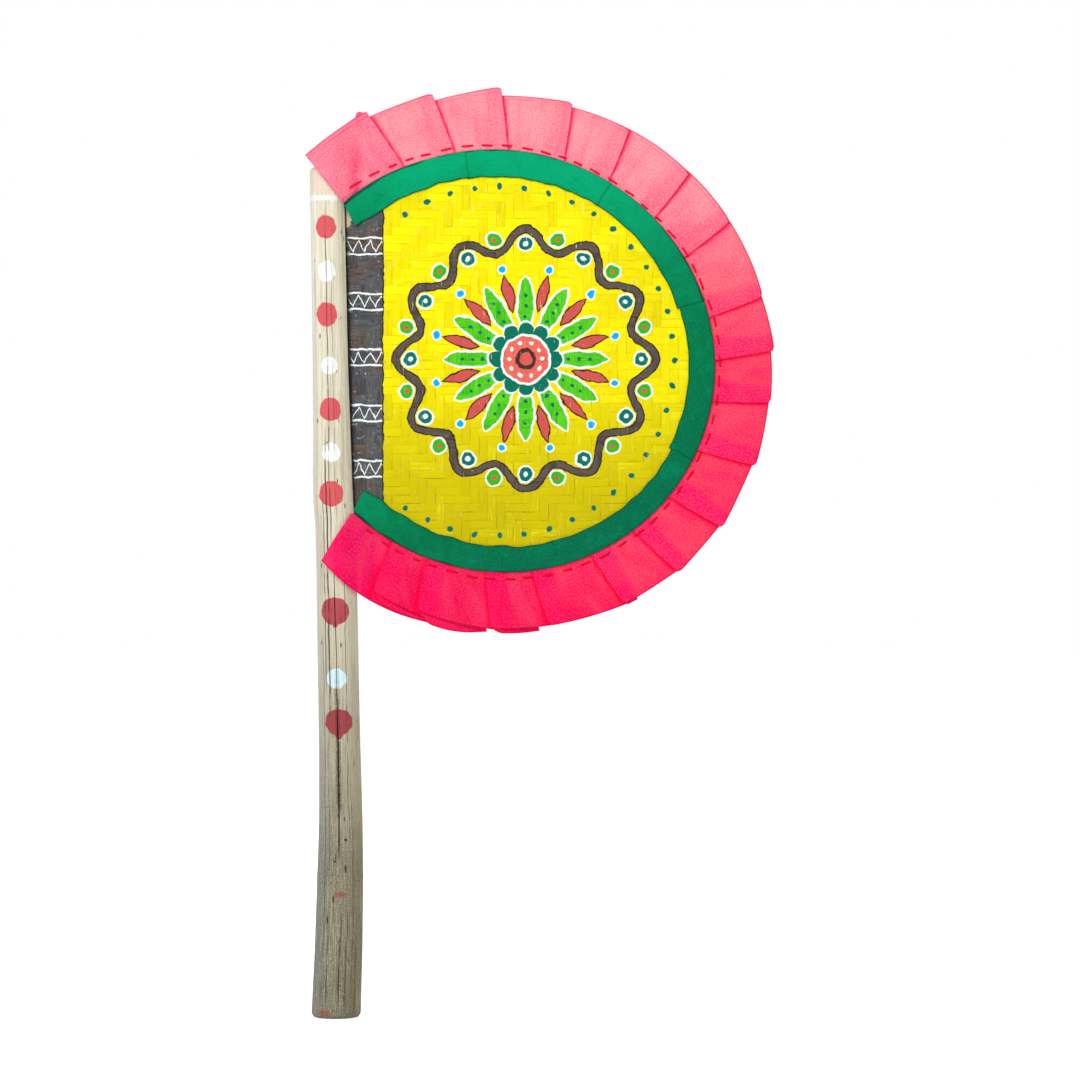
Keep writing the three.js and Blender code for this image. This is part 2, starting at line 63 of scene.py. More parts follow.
# %% Driving sizes, in millimetres and degrees
MM = 0.001
HANDLE_LENGTH = (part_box("handle_culm")[1].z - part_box("handle_culm")[0].z) / MM
LOWER_NODE_HEIGHT = 62
UPPER_NODE_HEIGHT = HANDLE_LENGTH - 13
LOWER_NODE_SHIFT = 1.9
TOP_SHIFT = -4.1
NODE_SWELL = 0.1
NODE_SWELL_LENGTH = 8
BORE_RADIUS = 4.2
NODE_WALL = 3
END_ROUNDING = 2.6

BLADE_HEIGHT = HANDLE_LENGTH - 85.4
BLADE_FOOT_HEIGHT = BLADE_HEIGHT - 61
CENTRE_FROM_HANDLE_AXIS = 74.4
RIM_RADIUS = 93.7
RIM_OVAL = 1.6
RIM_OVAL_ANGLE = 28
TOP_CORNER_FLARE = 2.2
TOP_CORNER_FROM_ANGLE = 104
TOP_CORNER_TO_ANGLE = 134

MAT_HALF = 0.5
TAPE_OVER_RIM = 0.6
TAPE_WIDTH = 11.7
TAPE_THICKNESS = 0.35
TAPE_TOP_END = 134
TAPE_FOOT_END = -133.5
TAPE_PAST_END_ANGLE = 0.7

FRILL_BASE = MAT_HALF + 0.3
FRILL_SHOWS = 26
FRILL_MARGIN = 6
CLIMB_BESIDE_HANDLE = 7
CLIMB_RUN = 1.3
FRILL_OVER_HANDLE = 0.9

CULM_PROFILE = [(0, 11.1), (60, 10.4), (90, 9.75), (120, 9.3), (BLADE_FOOT_HEIGHT, 9),
                (BLADE_HEIGHT, 7.95), (HANDLE_LENGTH, 7.65)]
# The middle line: height, and how far to the side. Between the lower joint and the blade it bows out
BOW_TOP = 229
AXIS_LINE = [(0, 0), (30, 1.17), (55, 1.74), (70, 2.0), (86, 2.16), (112, 1.79), (150, 1.09), (180, 0.58),
             (207, 0.06), (215, -0.14), (222, -0.73), (BOW_TOP, -1.31), (HANDLE_LENGTH, TOP_SHIFT)]


def smooth(value):
    t = min(max(value, 0), 1)
    return t * t * (3 - 2 * t)


def between(points, height):
    return float(np.interp(height, [p[0] for p in points], [p[1] for p in points]))


def axis_x(height):
    """Where the handle's middle line is: it leans one way up to the lower joint, and back above it."""
    return between(AXIS_LINE, height)


def culm_radius(height):
    nodes = (LOWER_NODE_HEIGHT, UPPER_NODE_HEIGHT)
    swell = sum(1 - smooth(abs(height - node) / (NODE_SWELL_LENGTH / 2)) for node in nodes)
    return between(CULM_PROFILE, height) + NODE_SWELL * swell


BLADE_CENTRE_X = axis_x(BLADE_HEIGHT) + CENTRE_FROM_HANDLE_AXIS


def rim_radius(angle):
    """The rim is hand cut: a little oval, and fuller at the top corner by the handle."""
    oval = RIM_OVAL * math.cos(math.radians(2 * (angle + RIM_OVAL_ANGLE)))
    into_corner = (angle - TOP_CORNER_FROM_ANGLE) / (TOP_CORNER_TO_ANGLE - TOP_CORNER_FROM_ANGLE)
    return RIM_RADIUS + oval + TOP_CORNER_FLARE * smooth(into_corner)


def climb(x, height, out):
    """How far the ribbon is lifted off the mat where it climbs over the round handle."""
    wrap = culm_radius(height) + FRILL_OVER_HANDLE
    away = x - axis_x(height)
    start = wrap + CLIMB_BESIDE_HANDLE
    touch = math.atan2(FRILL_BASE, start) + math.acos(wrap / math.hypot(start, FRILL_BASE))
    touch_x, touch_lift = wrap * math.cos(touch), wrap * math.sin(touch)
    lift = FRILL_BASE
    if away < 0:
        lift = wrap
    elif away < touch_x:
        lift = math.sqrt(wrap * wrap - away * away)
    elif away < start:
        lift += (start - away) * (touch_lift - FRILL_BASE) / (start - touch_x)
    return (lift - FRILL_BASE) * smooth(out / CLIMB_RUN)


def rim_point(angle, out, lift):
    """A point in metres, by its angle round the blade, how far outside the rim and how far off the mat."""
    turn = math.radians(angle)
    radius = rim_radius(angle) + out
    x = BLADE_CENTRE_X + radius * math.cos(turn)
    z = BLADE_HEIGHT + radius * math.sin(turn)
    return (x * MM, (-lift - climb(x, z, out)) * MM, z * MM)


print("blade centre", round(BLADE_CENTRE_X, 2), round(BLADE_HEIGHT, 2), "handle", round(HANDLE_LENGTH, 1))

# %% [markdown]
# ## Camera, floor and light
#
# The photograph looks straight at the painted face from far away, so a long lens is used, which keeps
# circles round at the edge of the view. The background is white: the floor and the world are white
# only to the camera and to glossy rays, and stay at a plain level for the light that they give off.

# %% Camera straight on to the painted face
PHOTO_WIDTH = 1080
MM_PER_PIXEL = 0.44
FOOT_PIXEL = (336, 1017)
LENS = 150
SENSOR = 36

view_width = PHOTO_WIDTH * MM_PER_PIXEL
look_x = (PHOTO_WIDTH / 2 - FOOT_PIXEL[0]) * MM_PER_PIXEL
look_z = (FOOT_PIXEL[1] - PHOTO_WIDTH / 2) * MM_PER_PIXEL
distance = LENS * view_width / SENSOR

camera_data = bpy.data.cameras.new("view_camera")
camera_data.lens = LENS
camera_data.sensor_width = SENSOR
camera_data.clip_end = 50
camera = bpy.data.objects.new("view_camera", camera_data)
camera.location = Vector((look_x, -distance, look_z)) * MM
camera.rotation_euler = (math.radians(90), 0, 0)
bpy.context.scene.collection.objects.link(camera)
bpy.context.scene.camera = camera
bpy.context.scene.view_settings.view_transform = "Standard"
print("camera", [round(v, 3) for v in camera.location])

# %% [markdown]
# ## A short way to write shader maths
#
# Patterns are easier to read as expressions than as rows of nodes. The class below wraps what comes
# out of a node, and its operators add the Math nodes, so that a line such as `1 - mask * 0.5` builds
# them. Everything else, such as noise, a colour mix or a range, comes from one method. A finish is then
# laid like paint: a ground, and thin coats over it, each with a mask that says where it covers.

# %% A wire that does sums, and a finish that makes nodes
def colour(red, green, blue):
    """A colour as a screen shows it, 0 to 255, turned into the light that it stands for."""
    parts = [v / 255 for v in (red, green, blue)]
    return (*[v / 12.92 if v <= 0.04045 else ((v + 0.055) / 1.055) ** 2.4 for v in parts], 1)


class Wire:
    """What comes out of a node. An expression on it adds the Math nodes that it needs."""

    def __init__(self, finish, socket):
        self.finish = finish
        self.socket = socket

    def sums(self, operation, *values):
        return self.finish.node("ShaderNodeMath", {"operation": operation}, dict(enumerate(values)))

    def __add__(self, other):
        return self.sums("ADD", self, other)

    def __radd__(self, other):
        return self.sums("ADD", other, self)

    def __sub__(self, other):
        return self.sums("SUBTRACT", self, other)

    def __rsub__(self, other):
        return self.sums("SUBTRACT", other, self)

    def __mul__(self, other):
        return self.sums("MULTIPLY", self, other)

    def __rmul__(self, other):
        return self.sums("MULTIPLY", other, self)

    def __truediv__(self, other):
        return self.sums("DIVIDE", self, other)

    def __mod__(self, other):
        return self.sums("FLOORED_MODULO", self, other)

    def __pow__(self, other):
        return self.sums("POWER", self, other)

    def __abs__(self):
        return self.sums("ABSOLUTE", self)


class Finish:
    """A material whose pattern is worked out from the place on the object, in millimetres."""

    def __init__(self, name, roughness, **constants):
        self.material = bpy.data.materials.new(name)
        self.material.use_nodes = True
        self.tree = self.material.node_tree
        self.shader = self.tree.nodes["Principled BSDF"]
        self.shader.inputs["Roughness"].default_value = roughness
        for socket, value in constants.items():
            self.shader.inputs[socket.replace("_", " ")].default_value = value
        self.place = self.node("ShaderNodeTexCoord", {}, {}, out="Object")
        self.x, self.y, self.z = (
            self.node("ShaderNodeSeparateXYZ", {}, {0: self.place}, out=axis) * 1000 for axis in "XYZ"
        )

    def node(self, kind, settings, inputs, out=0):
        made = self.tree.nodes.new(kind)
        for key, value in settings.items():
            setattr(made, key, value)
        for key, value in inputs.items():
            if isinstance(value, Wire):
                self.tree.links.new(value.socket, made.inputs[key])
            else:
                made.inputs[key].default_value = value
        return Wire(self, made.outputs[out])

    def spot(self, x, y, z=0.0):
        return self.node("ShaderNodeCombineXYZ", {}, {0: x, 1: y, 2: z})

    def noise(self, x, y, z=0.0, scale=1.0, detail=2.0, roughness=0.5):
        settings = {"noise_dimensions": "3D"}
        inputs = {"Vector": self.spot(x, y, z), "Scale": scale, "Detail": detail, "Roughness": roughness}
        return self.node("ShaderNodeTexNoise", settings, inputs)

    def rise(self, value, low, high):
        """0 where value is under low, 1 where it is over high, and soft between."""
        settings = {"interpolation_type": "SMOOTHSTEP"}
        return self.node("ShaderNodeMapRange", settings, {"Value": value, "From Min": low, "From Max": high})

    def inside(self, value, edge, soft=0.18):
        """1 where value is under edge, with an edge as soft as a brush leaves it."""
        return 1 - self.rise(value, edge - soft, edge + soft)

    def mix(self, factor, first, second):
        """From one colour to another. Each is a wire, or red, green and blue as a screen shows them."""
        first, second = (v if isinstance(v, Wire) else colour(*v) for v in (first, second))
        return self.node("ShaderNodeMix", {"data_type": "RGBA"}, {0: factor, 6: first, 7: second}, out=2)

    def coats(self, tint, *layers):
        """Lays coats over a tint. Each is where and how thickly it covers, and its colour."""
        for cover, paint in layers:
            tint = self.mix(cover, tint, paint)
        return tint

    def distance(self, across, along):
        return (across * across + along * along) ** 0.5

    def smaller(self, first, second):
        return first.sums("MINIMUM", first, second)

    def larger(self, first, second):
        return first.sums("MAXIMUM", first, second)

    def finish_with(self, tint, rough=None, height=None, depth=0.1):
        """Joins the colour, the roughness and a bump of depth millimetres to the shader."""
        self.tree.links.new(tint.socket, self.shader.inputs["Base Color"])
        if rough is not None:
            self.tree.links.new(rough.socket, self.shader.inputs["Roughness"])
        if height is not None:
            inputs = {"Strength": 1.0, "Distance": depth * MM, "Height": height}
            bump = self.node("ShaderNodeBump", {}, inputs, out="Normal")
            self.tree.links.new(bump.socket, self.shader.inputs["Normal"])
        return self.material


def white_to_camera(tree, lit_socket):
    """Adds a white that only the camera and clear reflections see, over what lights the object."""
    rays = tree.nodes.new("ShaderNodeLightPath")
    seen = tree.nodes.new("ShaderNodeMath")
    seen.operation = "MAXIMUM"
    tree.links.new(rays.outputs["Is Camera Ray"], seen.inputs[0])
    tree.links.new(rays.outputs["Is Glossy Ray"], seen.inputs[1])
    also = tree.nodes.new("ShaderNodeMath")
    also.operation = "MAXIMUM"
    tree.links.new(seen.outputs[0], also.inputs[0])
    tree.links.new(rays.outputs["Is Transmission Ray"], also.inputs[1])
    mixer = tree.nodes.new("ShaderNodeMixShader")
    tree.links.new(also.outputs[0], mixer.inputs["Fac"])
    tree.links.new(lit_socket, mixer.inputs[1])
    return mixer


# %% White floor and world, a large soft lamp in front and a weaker one behind
WORLD_LEVEL = 0.54
LAMP_POWER = 14
BACK_LAMP_POWER = 8.5
LAMP_SIZE = (1.2, 1.0)
LAMP_TARGET = (0.06, 0, 0.3)
FLOOR_GLOW = 0.62
FLOOR_SIZE = 12

world = bpy.data.worlds.new("white_room")
world.use_nodes = True
bpy.context.scene.world = world
plain_light = world.node_tree.nodes["Background"]
plain_light.inputs["Color"].default_value = (1, 1, 1, 1)
plain_light.inputs["Strength"].default_value = WORLD_LEVEL
white_light = world.node_tree.nodes.new("ShaderNodeBackground")
white_light.inputs["Color"].default_value = (1, 1, 1, 1)
white_light.inputs["Strength"].default_value = 1
mixer = white_to_camera(world.node_tree, plain_light.outputs[0])
world.node_tree.links.new(white_light.outputs[0], mixer.inputs[2])
world.node_tree.links.new(mixer.outputs[0], world.node_tree.nodes["World Output"].inputs["Surface"])

bpy.ops.object.select_all(action="DESELECT")
bpy.ops.mesh.primitive_plane_add(size=FLOOR_SIZE, location=(0, 0, 0))
floor = bpy.context.object
floor.name = "floor"
floor_paint = bpy.data.materials.new("white_floor")
floor_paint.use_nodes = True
floor_tree = floor_paint.node_tree
floor_shader = floor_tree.nodes["Principled BSDF"]
floor_shader.inputs["Base Color"].default_value = (0.8, 0.8, 0.8, 1)
floor_shader.inputs["Roughness"].default_value = 1
glow = floor_tree.nodes.new("ShaderNodeEmission")
glow.inputs["Strength"].default_value = FLOOR_GLOW
adder = floor_tree.nodes.new("ShaderNodeAddShader")
floor_tree.links.new(floor_shader.outputs[0], adder.inputs[0])
floor_tree.links.new(glow.outputs[0], adder.inputs[1])
mixer = white_to_camera(floor_tree, floor_shader.outputs[0])
floor_tree.links.new(adder.outputs[0], mixer.inputs[2])
floor_tree.links.new(mixer.outputs[0], floor_tree.nodes["Material Output"].inputs["Surface"])
floor.data.materials.append(floor_paint)

for name, power, place in [("soft_lamp", LAMP_POWER, (-0.3, -1.2, 0.95)),
                           ("soft_lamp_behind", BACK_LAMP_POWER, (0.45, 1.2, 0.8))]:
    lamp_data = bpy.data.lights.new(name, "AREA")
    lamp_data.shape = "RECTANGLE"
    lamp_data.size, lamp_data.size_y = LAMP_SIZE
    lamp_data.energy = power
    lamp = bpy.data.objects.new(name, lamp_data)
    lamp.location = place
    aim = Vector(LAMP_TARGET) - lamp.location
    lamp.rotation_euler = aim.to_track_quat("-Z", "Y").to_euler()
    bpy.context.scene.collection.objects.link(lamp)
print("world", WORLD_LEVEL, "lamps", LAMP_POWER, BACK_LAMP_POWER)

# %% [markdown]
# ## The bamboo handle
#
# The handle is one length of bamboo: round, hollow between its joints, a little thicker at the foot,
# with a low swelling at each joint. It could be a lathed profile, but its middle line bends at the
# lower joint, so a disc is extruded upwards ring by ring, and each ring is scaled and set over. The
# hollow, the slot for the mat and the long drying crack are then cut out, as a knife and a saw would.

# %% Grow the handle ring by ring
CULM_SIDES = 112
RING_STEP = 6
END_PARTS = (0, 0.12, 0.3, 0.55, 0.8, 1)
NODE_STEPS = (-4, -2.6, -1.3, -0.6, 0, 0.6, 1.3, 2.6, 4)


def select_only(*pieces):
    """Selects these pieces and nothing else, and makes the first of them the active one."""
    bpy.ops.object.select_all(action="DESELECT")
    for piece in pieces:
        piece.select_set(True)
    if pieces:
        bpy.context.view_layer.objects.active = pieces[0]


def face_outwards():
    """Turns the active piece's faces so that all of them point outwards."""
    bpy.ops.object.mode_set(mode="EDIT")
    bpy.ops.mesh.select_all(action="SELECT")
    bpy.ops.mesh.normals_make_consistent(inside=False)
    bpy.ops.object.mode_set(mode="OBJECT")


def settle(piece):
    """Puts a piece's place into its mesh, so that its object is at the origin."""
    piece.data.transform(piece.matrix_world)
    piece.matrix_world.identity()


def finish_modifiers(piece):
    select_only(piece)
    for modifier in list(piece.modifiers):
        bpy.ops.object.modifier_apply(modifier=modifier.name)


def grow_bar(name, stations, sides):
    """A round bar through (height, radius) stations that follows the handle's middle line."""
    height, radius = stations[0]
    place = Vector((axis_x(height), 0, height)) * MM
    select_only()
    bpy.ops.mesh.primitive_circle_add(radius=radius * MM, vertices=sides, fill_type="NGON", location=place)
    bar = bpy.context.object
    bar.name = name
    bpy.ops.object.mode_set(mode="EDIT")
    bpy.ops.mesh.select_all(action="SELECT")
    for next_height, next_radius in stations[1:]:
        move = Vector((axis_x(next_height) - axis_x(height), 0, next_height - height)) * MM
        bpy.ops.mesh.extrude_region_move(TRANSFORM_OT_translate={"value": move})
        ratio = next_radius / radius
        middle = Vector((axis_x(next_height), 0, next_height)) * MM
        bpy.ops.transform.resize(value=(ratio, ratio, 1), center_override=middle)
        height, radius = next_height, next_radius
    face_outwards()
    settle(bar)
    return bar


def rounded_end(height, inward):
    """Stations of a rounded end: the radius falls away as a quarter circle does."""
    stations = []
    for part in END_PARTS:
        shy = END_ROUNDING * (1 - math.sqrt(part * (2 - part)))
        stations.append((height + inward * END_ROUNDING * part, culm_radius(height) - shy))
    return stations


body_heights = set(np.arange(2 * END_ROUNDING, HANDLE_LENGTH - 2 * END_ROUNDING, RING_STEP))
for node_height in (LOWER_NODE_HEIGHT, UPPER_NODE_HEIGHT):
    body_heights |= {node_height + step for step in NODE_STEPS}
stations = rounded_end(0, 1)
stations += [(z, culm_radius(z)) for z in sorted(body_heights)]
stations += rounded_end(HANDLE_LENGTH, -1)[::-1]
handle = grow_bar("bamboo_handle", stations, CULM_SIDES)
print("handle rings", len(stations), "faces", len(handle.data.polygons))

# %% [markdown]
# A split length of bamboo isn't a perfect cylinder: shallow flats and ridges run along it. They are
# pressed into the grown bar by moving its points in and out a tenth or two of a millimetre.

# %% Press shallow flats and ridges into it
# Each set: how many ridges there are round the culm, how deep, and where the first one starts
RIDGES = [(5, 0.10, 0.7), (9, 0.07, 2.1), (17, 0.045, 4.0), (29, 0.03, 1.2)]


def ridge(angle, height):
    drift = 0.5 * math.sin(height / 90) + 0.3 * math.sin(height / 37 + 1)
    return sum(depth * math.cos(count * (angle + 0.05 * drift) + phase) for count, depth, phase in RIDGES)


for vertex in handle.data.vertices:
    x, y, z = vertex.co / MM
    from_axis = Vector((x - axis_x(z), y))
    if from_axis.length > BORE_RADIUS:
        # The ridges only cut in, so that the handle keeps its size
        depth = ridge(math.atan2(from_axis.y, from_axis.x), z) - sum(r[1] for r in RIDGES)
        scale = 1 + depth / from_axis.length
        vertex.co = Vector((axis_x(z) + from_axis.x * scale, from_axis.y * scale, z)) * MM


# %% Cut the hollow, the slot and the crack
def cut_away(piece, tool):
    modifier = piece.modifiers.new("cut", "BOOLEAN")
    modifier.operation = "DIFFERENCE"
    modifier.solver = "EXACT"
    modifier.object = tool
    finish_modifiers(piece)
    bpy.data.objects.remove(tool)


BORE_SIDES = 40
wall = NODE_WALL / 2
bores = [(-END_ROUNDING, LOWER_NODE_HEIGHT - wall), (LOWER_NODE_HEIGHT + wall, UPPER_NODE_HEIGHT - wall),
         (UPPER_NODE_HEIGHT + wall, HANDLE_LENGTH + END_ROUNDING)]
for low, high in bores:
    cut_away(handle, grow_bar("bore", [(low, BORE_RADIUS), (high, BORE_RADIUS)], BORE_SIDES))


def wedge(name, rows, near, far):
    """A closed blade of metal from near to far. Each row is its middle, its half width and its height."""
    select_only()
    bpy.ops.mesh.primitive_plane_add(size=1)
    tool = bpy.context.object
    tool.name = name
    bpy.ops.object.mode_set(mode="EDIT")
    bpy.ops.mesh.select_all(action="SELECT")
    for _ in rows[1:]:
        bpy.ops.mesh.extrude_region_move(TRANSFORM_OT_translate={"value": (0, 0, 1)})
    bpy.ops.object.mode_set(mode="OBJECT")
    for vertex in tool.data.vertices:
        middle, half, height = rows[min(round(vertex.co.z), len(rows) - 1)]
        side = 1 if vertex.co.x > 0 else -1
        deep = far if vertex.co.y > 0 else near
        vertex.co = Vector((middle + side * half, deep, height)) * MM
    face_outwards()
    return tool


SLOT_HALF = 0.8
SLOT_FOOT, SLOT_TOP = 221.5, 359.5
SLOT_REACH = 22
slot_rows = [(axis_x(z) + SLOT_REACH / 2, SLOT_REACH / 2, z) for z in (SLOT_FOOT, SLOT_TOP)]
cut_away(handle, wedge("slot", slot_rows, -SLOT_HALF, SLOT_HALF))

CRACK_FROM, CRACK_DEEPEST = -20, -5.5
CRACK_FOOT = LOWER_NODE_HEIGHT + NODE_SWELL_LENGTH
# Each row: height above the crack's foot, how far to the side, and half the width
CRACK_SHAPE = [(0, -0.25, 0.05), (7, -0.3, 0.34), (18, -0.35, 0.28), (27, -0.25, 0.46), (36, -0.4, 0.38),
               (48, -0.25, 0.42), (58, -0.4, 0.26), (75, -0.45, 0.13), (92, -0.35, 0.18), (112, -0.75, 0.24),
               (126, -0.75, 0.18), (135, -0.65, 0.04)]
crack_rows = [(axis_x(CRACK_FOOT + up) + side, half, CRACK_FOOT + up) for up, side, half in CRACK_SHAPE]
cut_away(handle, wedge("crack", crack_rows, CRACK_FROM, CRACK_DEEPEST))

CULM_EDGE_ANGLE = 40
select_only(handle)
bpy.ops.object.shade_smooth_by_angle(angle=math.radians(CULM_EDGE_ANGLE))
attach(handle, "root")
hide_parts("handle_culm")
print("handle faces", len(handle.data.polygons))

# %% [markdown]
# ### Bamboo, and the painted dots
#
# Dry bamboo is straw coloured, with fine fibres along it, dark specks and thin cracks. This handle is
# paler at the top and greyer and darker toward the foot: partly wear where hands have held it, and partly
# painted light, brighter where it falls from above. One side is painted a bluish grey and the other a
# warm shade, as side light. Noise that is stretched along the handle gives the fibres. The red and white
# dots are the common decoration of such handles, and are circles with a slightly unsteady edge on the
# front only.

# %% Where a place is on the culm, and the noises of bamboo
CULM_MEAN_RADIUS = 8.3

bamboo = Finish("bamboo_culm", 0.6, Specular_IOR_Level=0.35)
f = bamboo
# The pattern's middle line is straight but for one bend at the lower joint, without the slight bow
lower_lean = LOWER_NODE_SHIFT / LOWER_NODE_HEIGHT
upper_lean = (TOP_SHIFT - LOWER_NODE_SHIFT) / (HANDLE_LENGTH - LOWER_NODE_HEIGHT)
lower_part = f.smaller(f.z, LOWER_NODE_HEIGHT)
upper_part = f.larger(f.z - LOWER_NODE_HEIGHT, 0.0)
off_middle = f.x - (lower_part * lower_lean + upper_part * upper_lean)
around = off_middle.sums("ARCTAN2", off_middle, 0 - f.y) * CULM_MEAN_RADIUS
up = f.z / HANDLE_LENGTH

wander = f.noise(f.x, f.y, f.z * 0.06, scale=0.25)
fibre_wide = f.noise(f.x, f.y, f.z * 0.012, scale=0.55, detail=3)
fibre_fine = f.noise(f.x * 1.6, f.y * 1.6, f.z * 0.03, scale=1.6, detail=4, roughness=0.65)
patches = f.noise(f.x, f.y, f.z, scale=0.07, detail=3)
crumbs = f.noise(f.x * 1.5, f.y * 1.5, f.z * 0.7, scale=1.5, detail=3, roughness=0.7)
sand = f.noise(f.x, f.y, f.z * 0.8, scale=2.6, roughness=0.7)
worn = 1 - f.rise(up, 0.12, 0.5)

# %% Straw, fibres, wear, specks and painted light
# Painted side light: the side away from the blade is painted a bluish grey, and the other side gets a
# painted warm shade low down, and is paler above that
cool_side_light = f.mix(f.rise(up, 0.1, 0.62), (122, 142, 176), (224, 228, 240))
pale_side = f.rise(around, 0.5, 5.0) * f.rise(f.z, 62, 104) * (1 - f.rise(f.z, 104, 145))
warm_side_shade = f.rise(around, 1.0, 7.0) * (1 - f.rise(up, 0.15, 0.38))
# Specks are small dark slits along the fibres
slits = f.node("ShaderNodeTexVoronoi", {"voronoi_dimensions": "3D"},
               {"Vector": f.spot(f.x * 0.36, f.y * 0.36, f.z * 0.085), "Scale": 1.0, "Randomness": 1.0})
specks = f.inside(slits, 0.1, 0.03) * f.rise(patches, 0.38, 0.48)

# The ground darkens from the top to the foot: partly wear, partly painted light falling from above
straw = f.coats(
    f.mix(f.rise(up, 0.1, 0.62), (114, 110, 86), (232, 224, 201)),
    (f.inside(up, 0.05, 0.08) * 0.6, (96, 90, 64)),
    (f.rise(up, 0.6, 0.95), (242, 236, 214)),
    (f.rise(fibre_wide, 0.35, 0.75) * (0.3 + f.rise(up, 0.1, 0.4) * 0.2), (164, 148, 112)),
    (f.rise(fibre_fine, 0.5, 0.68) * (0.45 + worn * 0.4), (108, 98, 72)),
    (f.rise(1 - fibre_fine, 0.5, 0.72) * (0.3 + worn * 0.25), (228, 224, 200)),
    (f.rise(patches, 0.45, 0.7) * worn * 0.5, (112, 110, 96)),
    (f.rise(crumbs, 0.58, 0.7) * worn * 0.5, (84, 78, 60)),
    (f.rise(1 - crumbs, 0.6, 0.72) * worn * 0.4, (214, 210, 186)),
    (f.rise(sand, 0.5, 0.68) * (0.12 + worn * 0.4), (88, 86, 68)),
    (f.rise(1 - sand, 0.5, 0.68) * (0.1 + worn * 0.3), (222, 220, 196)),
    # Painted side light: a bluish grey on the side away from the blade, a warm shade low on the other side
    (f.rise(0 - around, 1.0, 8.0) * 0.11, cool_side_light),
    (pale_side * 0.25, (214, 198, 162)),
    (warm_side_shade * 0.25, (104, 84, 44)),
    (specks * 0.85, (78, 60, 40)),
)

# %% Cracks, nicks, joints and smudges
# Thin cracks: how far round, half width, lowest and highest place, how dark
HAIR_CRACKS = [(-0.9, 0.2, 204, 362, 0.75), (1.5, 0.14, 214, 352, 0.45), (-2.6, 0.28, 128, 268, 0.95),
               (-4.3, 0.22, 140, 246, 0.75), (-3.6, 0.16, 60, 140, 0.45), (4.3, 0.16, 66, 236, 0.6),
               (-5.6, 0.18, 4, 180, 0.5), (0.8, 0.24, 2, 58, 0.85), (-3.6, 0.22, 2, 50, 0.7),
               (5.4, 0.2, 8, 120, 0.5), (3.1, 0.2, 0, 64, 0.65), (7.1, 0.24, -6, 56, 0.5)]
# Nicks at the lower joint: how far round, height, half width, half height
NICKS = [(2.4, 66, 0.35, 1.6), (2.7, 78.5, 0.6, 0.5), (-1.9, 52.5, 0.3, 1.5), (-4.0, 43.5, 0.3, 1.8),
         (-1.6, 69, 0.5, 0.4)]
# Old smudges of red paint: how far round, height, radius
SMUDGES = [(1.1, 54.5, 2.1), (-4.2, 2.8, 1.7)]

# The cracks wander a little, and break off here and there
hair = f.noise(0.0, 0.0, f.z, scale=0.035, detail=3) - 0.5
broken = f.noise(around * 0.2, 5.0, f.z * 0.35, scale=0.4)
cracks = 0.0
for side, half, low, high, depth in HAIR_CRACKS:
    line = f.inside(abs(around - side + hair * 2.6), half, 0.13)
    line = line * f.rise(f.z, low, low + 12) * (1 - f.rise(f.z, high - 30, high))
    cracks = f.larger(line * depth, cracks)
cracks = cracks * (0.35 + 0.65 * f.rise(broken, 0.36, 0.5))
for side, height, half_width, half_height in NICKS:
    gap = f.distance((around - side) / half_width, (f.z - height) / half_height)
    cracks = f.larger(f.inside(gap + crumbs * 1.2 - 0.6, 1.0, 0.3), cracks)

# Torn fibres beside the open crack, a pale ring at the upper joint with peach skin above it, and a
# rough scar at the lower joint
torn = f.inside(abs(around - 0.5 + hair * 0.8), 0.95, 0.5) * f.rise(crumbs, 0.44, 0.58)
torn = torn * f.rise(f.z, 88, 96) * (1 - f.rise(f.z, 146, 158))
ring = f.inside(abs(f.z - UPPER_NODE_HEIGHT + 1 + hair * 2), 1.1, 0.5)
scar = f.inside(abs(f.z - LOWER_NODE_HEIGHT + wander * 8 - 4), 5, 4) * f.rise(crumbs, 0.46, 0.6)
straw = f.coats(
    straw,
    (torn * 0.62, (74, 60, 38)),
    (cracks, (56, 46, 30)),
    (f.rise(f.z, UPPER_NODE_HEIGHT - 0.5, UPPER_NODE_HEIGHT + 3) * 0.75, (230, 210, 190)),
    (ring * 0.85, (242, 244, 238)),
    (scar * 0.5, (92, 84, 62)),
)
for side, height, size in SMUDGES:
    gap = f.distance(around - side, (f.z - height) * 1.4) + (fibre_wide - 0.5) * 5 + (crumbs - 0.5) * 6
    straw = f.mix(f.inside(gap, size, 0.8) * 0.8, straw, (150, 64, 56))

# %% Painted dots, which go round the culm as a brush lays them
# How far round the front, how far up from the foot, and their radius
DOTS_RED = [(-0.8, 347.2, 5.2), (-1.1, 308.9, 5.3), (-0.2, 267.1, 5.1), (-0.5, 230.1, 5.5),
            (0.0, 178.6, 6.1), (0.7, 130.2, 5.9), (0.2, 173.0, 1.5), (0.9, 124.6, 1.8)]
DOTS_WHITE = [(-0.8, 327.8, 4.5), (-0.2, 286.4, 3.9), (-0.1, 248.2, 4.2), (0.2, 149.2, 4.3)]
# Their paint at the top, and the duller one low down, which is partly painted shade like the rest of the
# handle
DOT_PAINTS = [(DOTS_RED, (218, 80, 88), (152, 52, 64)), (DOTS_WHITE, (247, 251, 250), (216, 240, 249))]

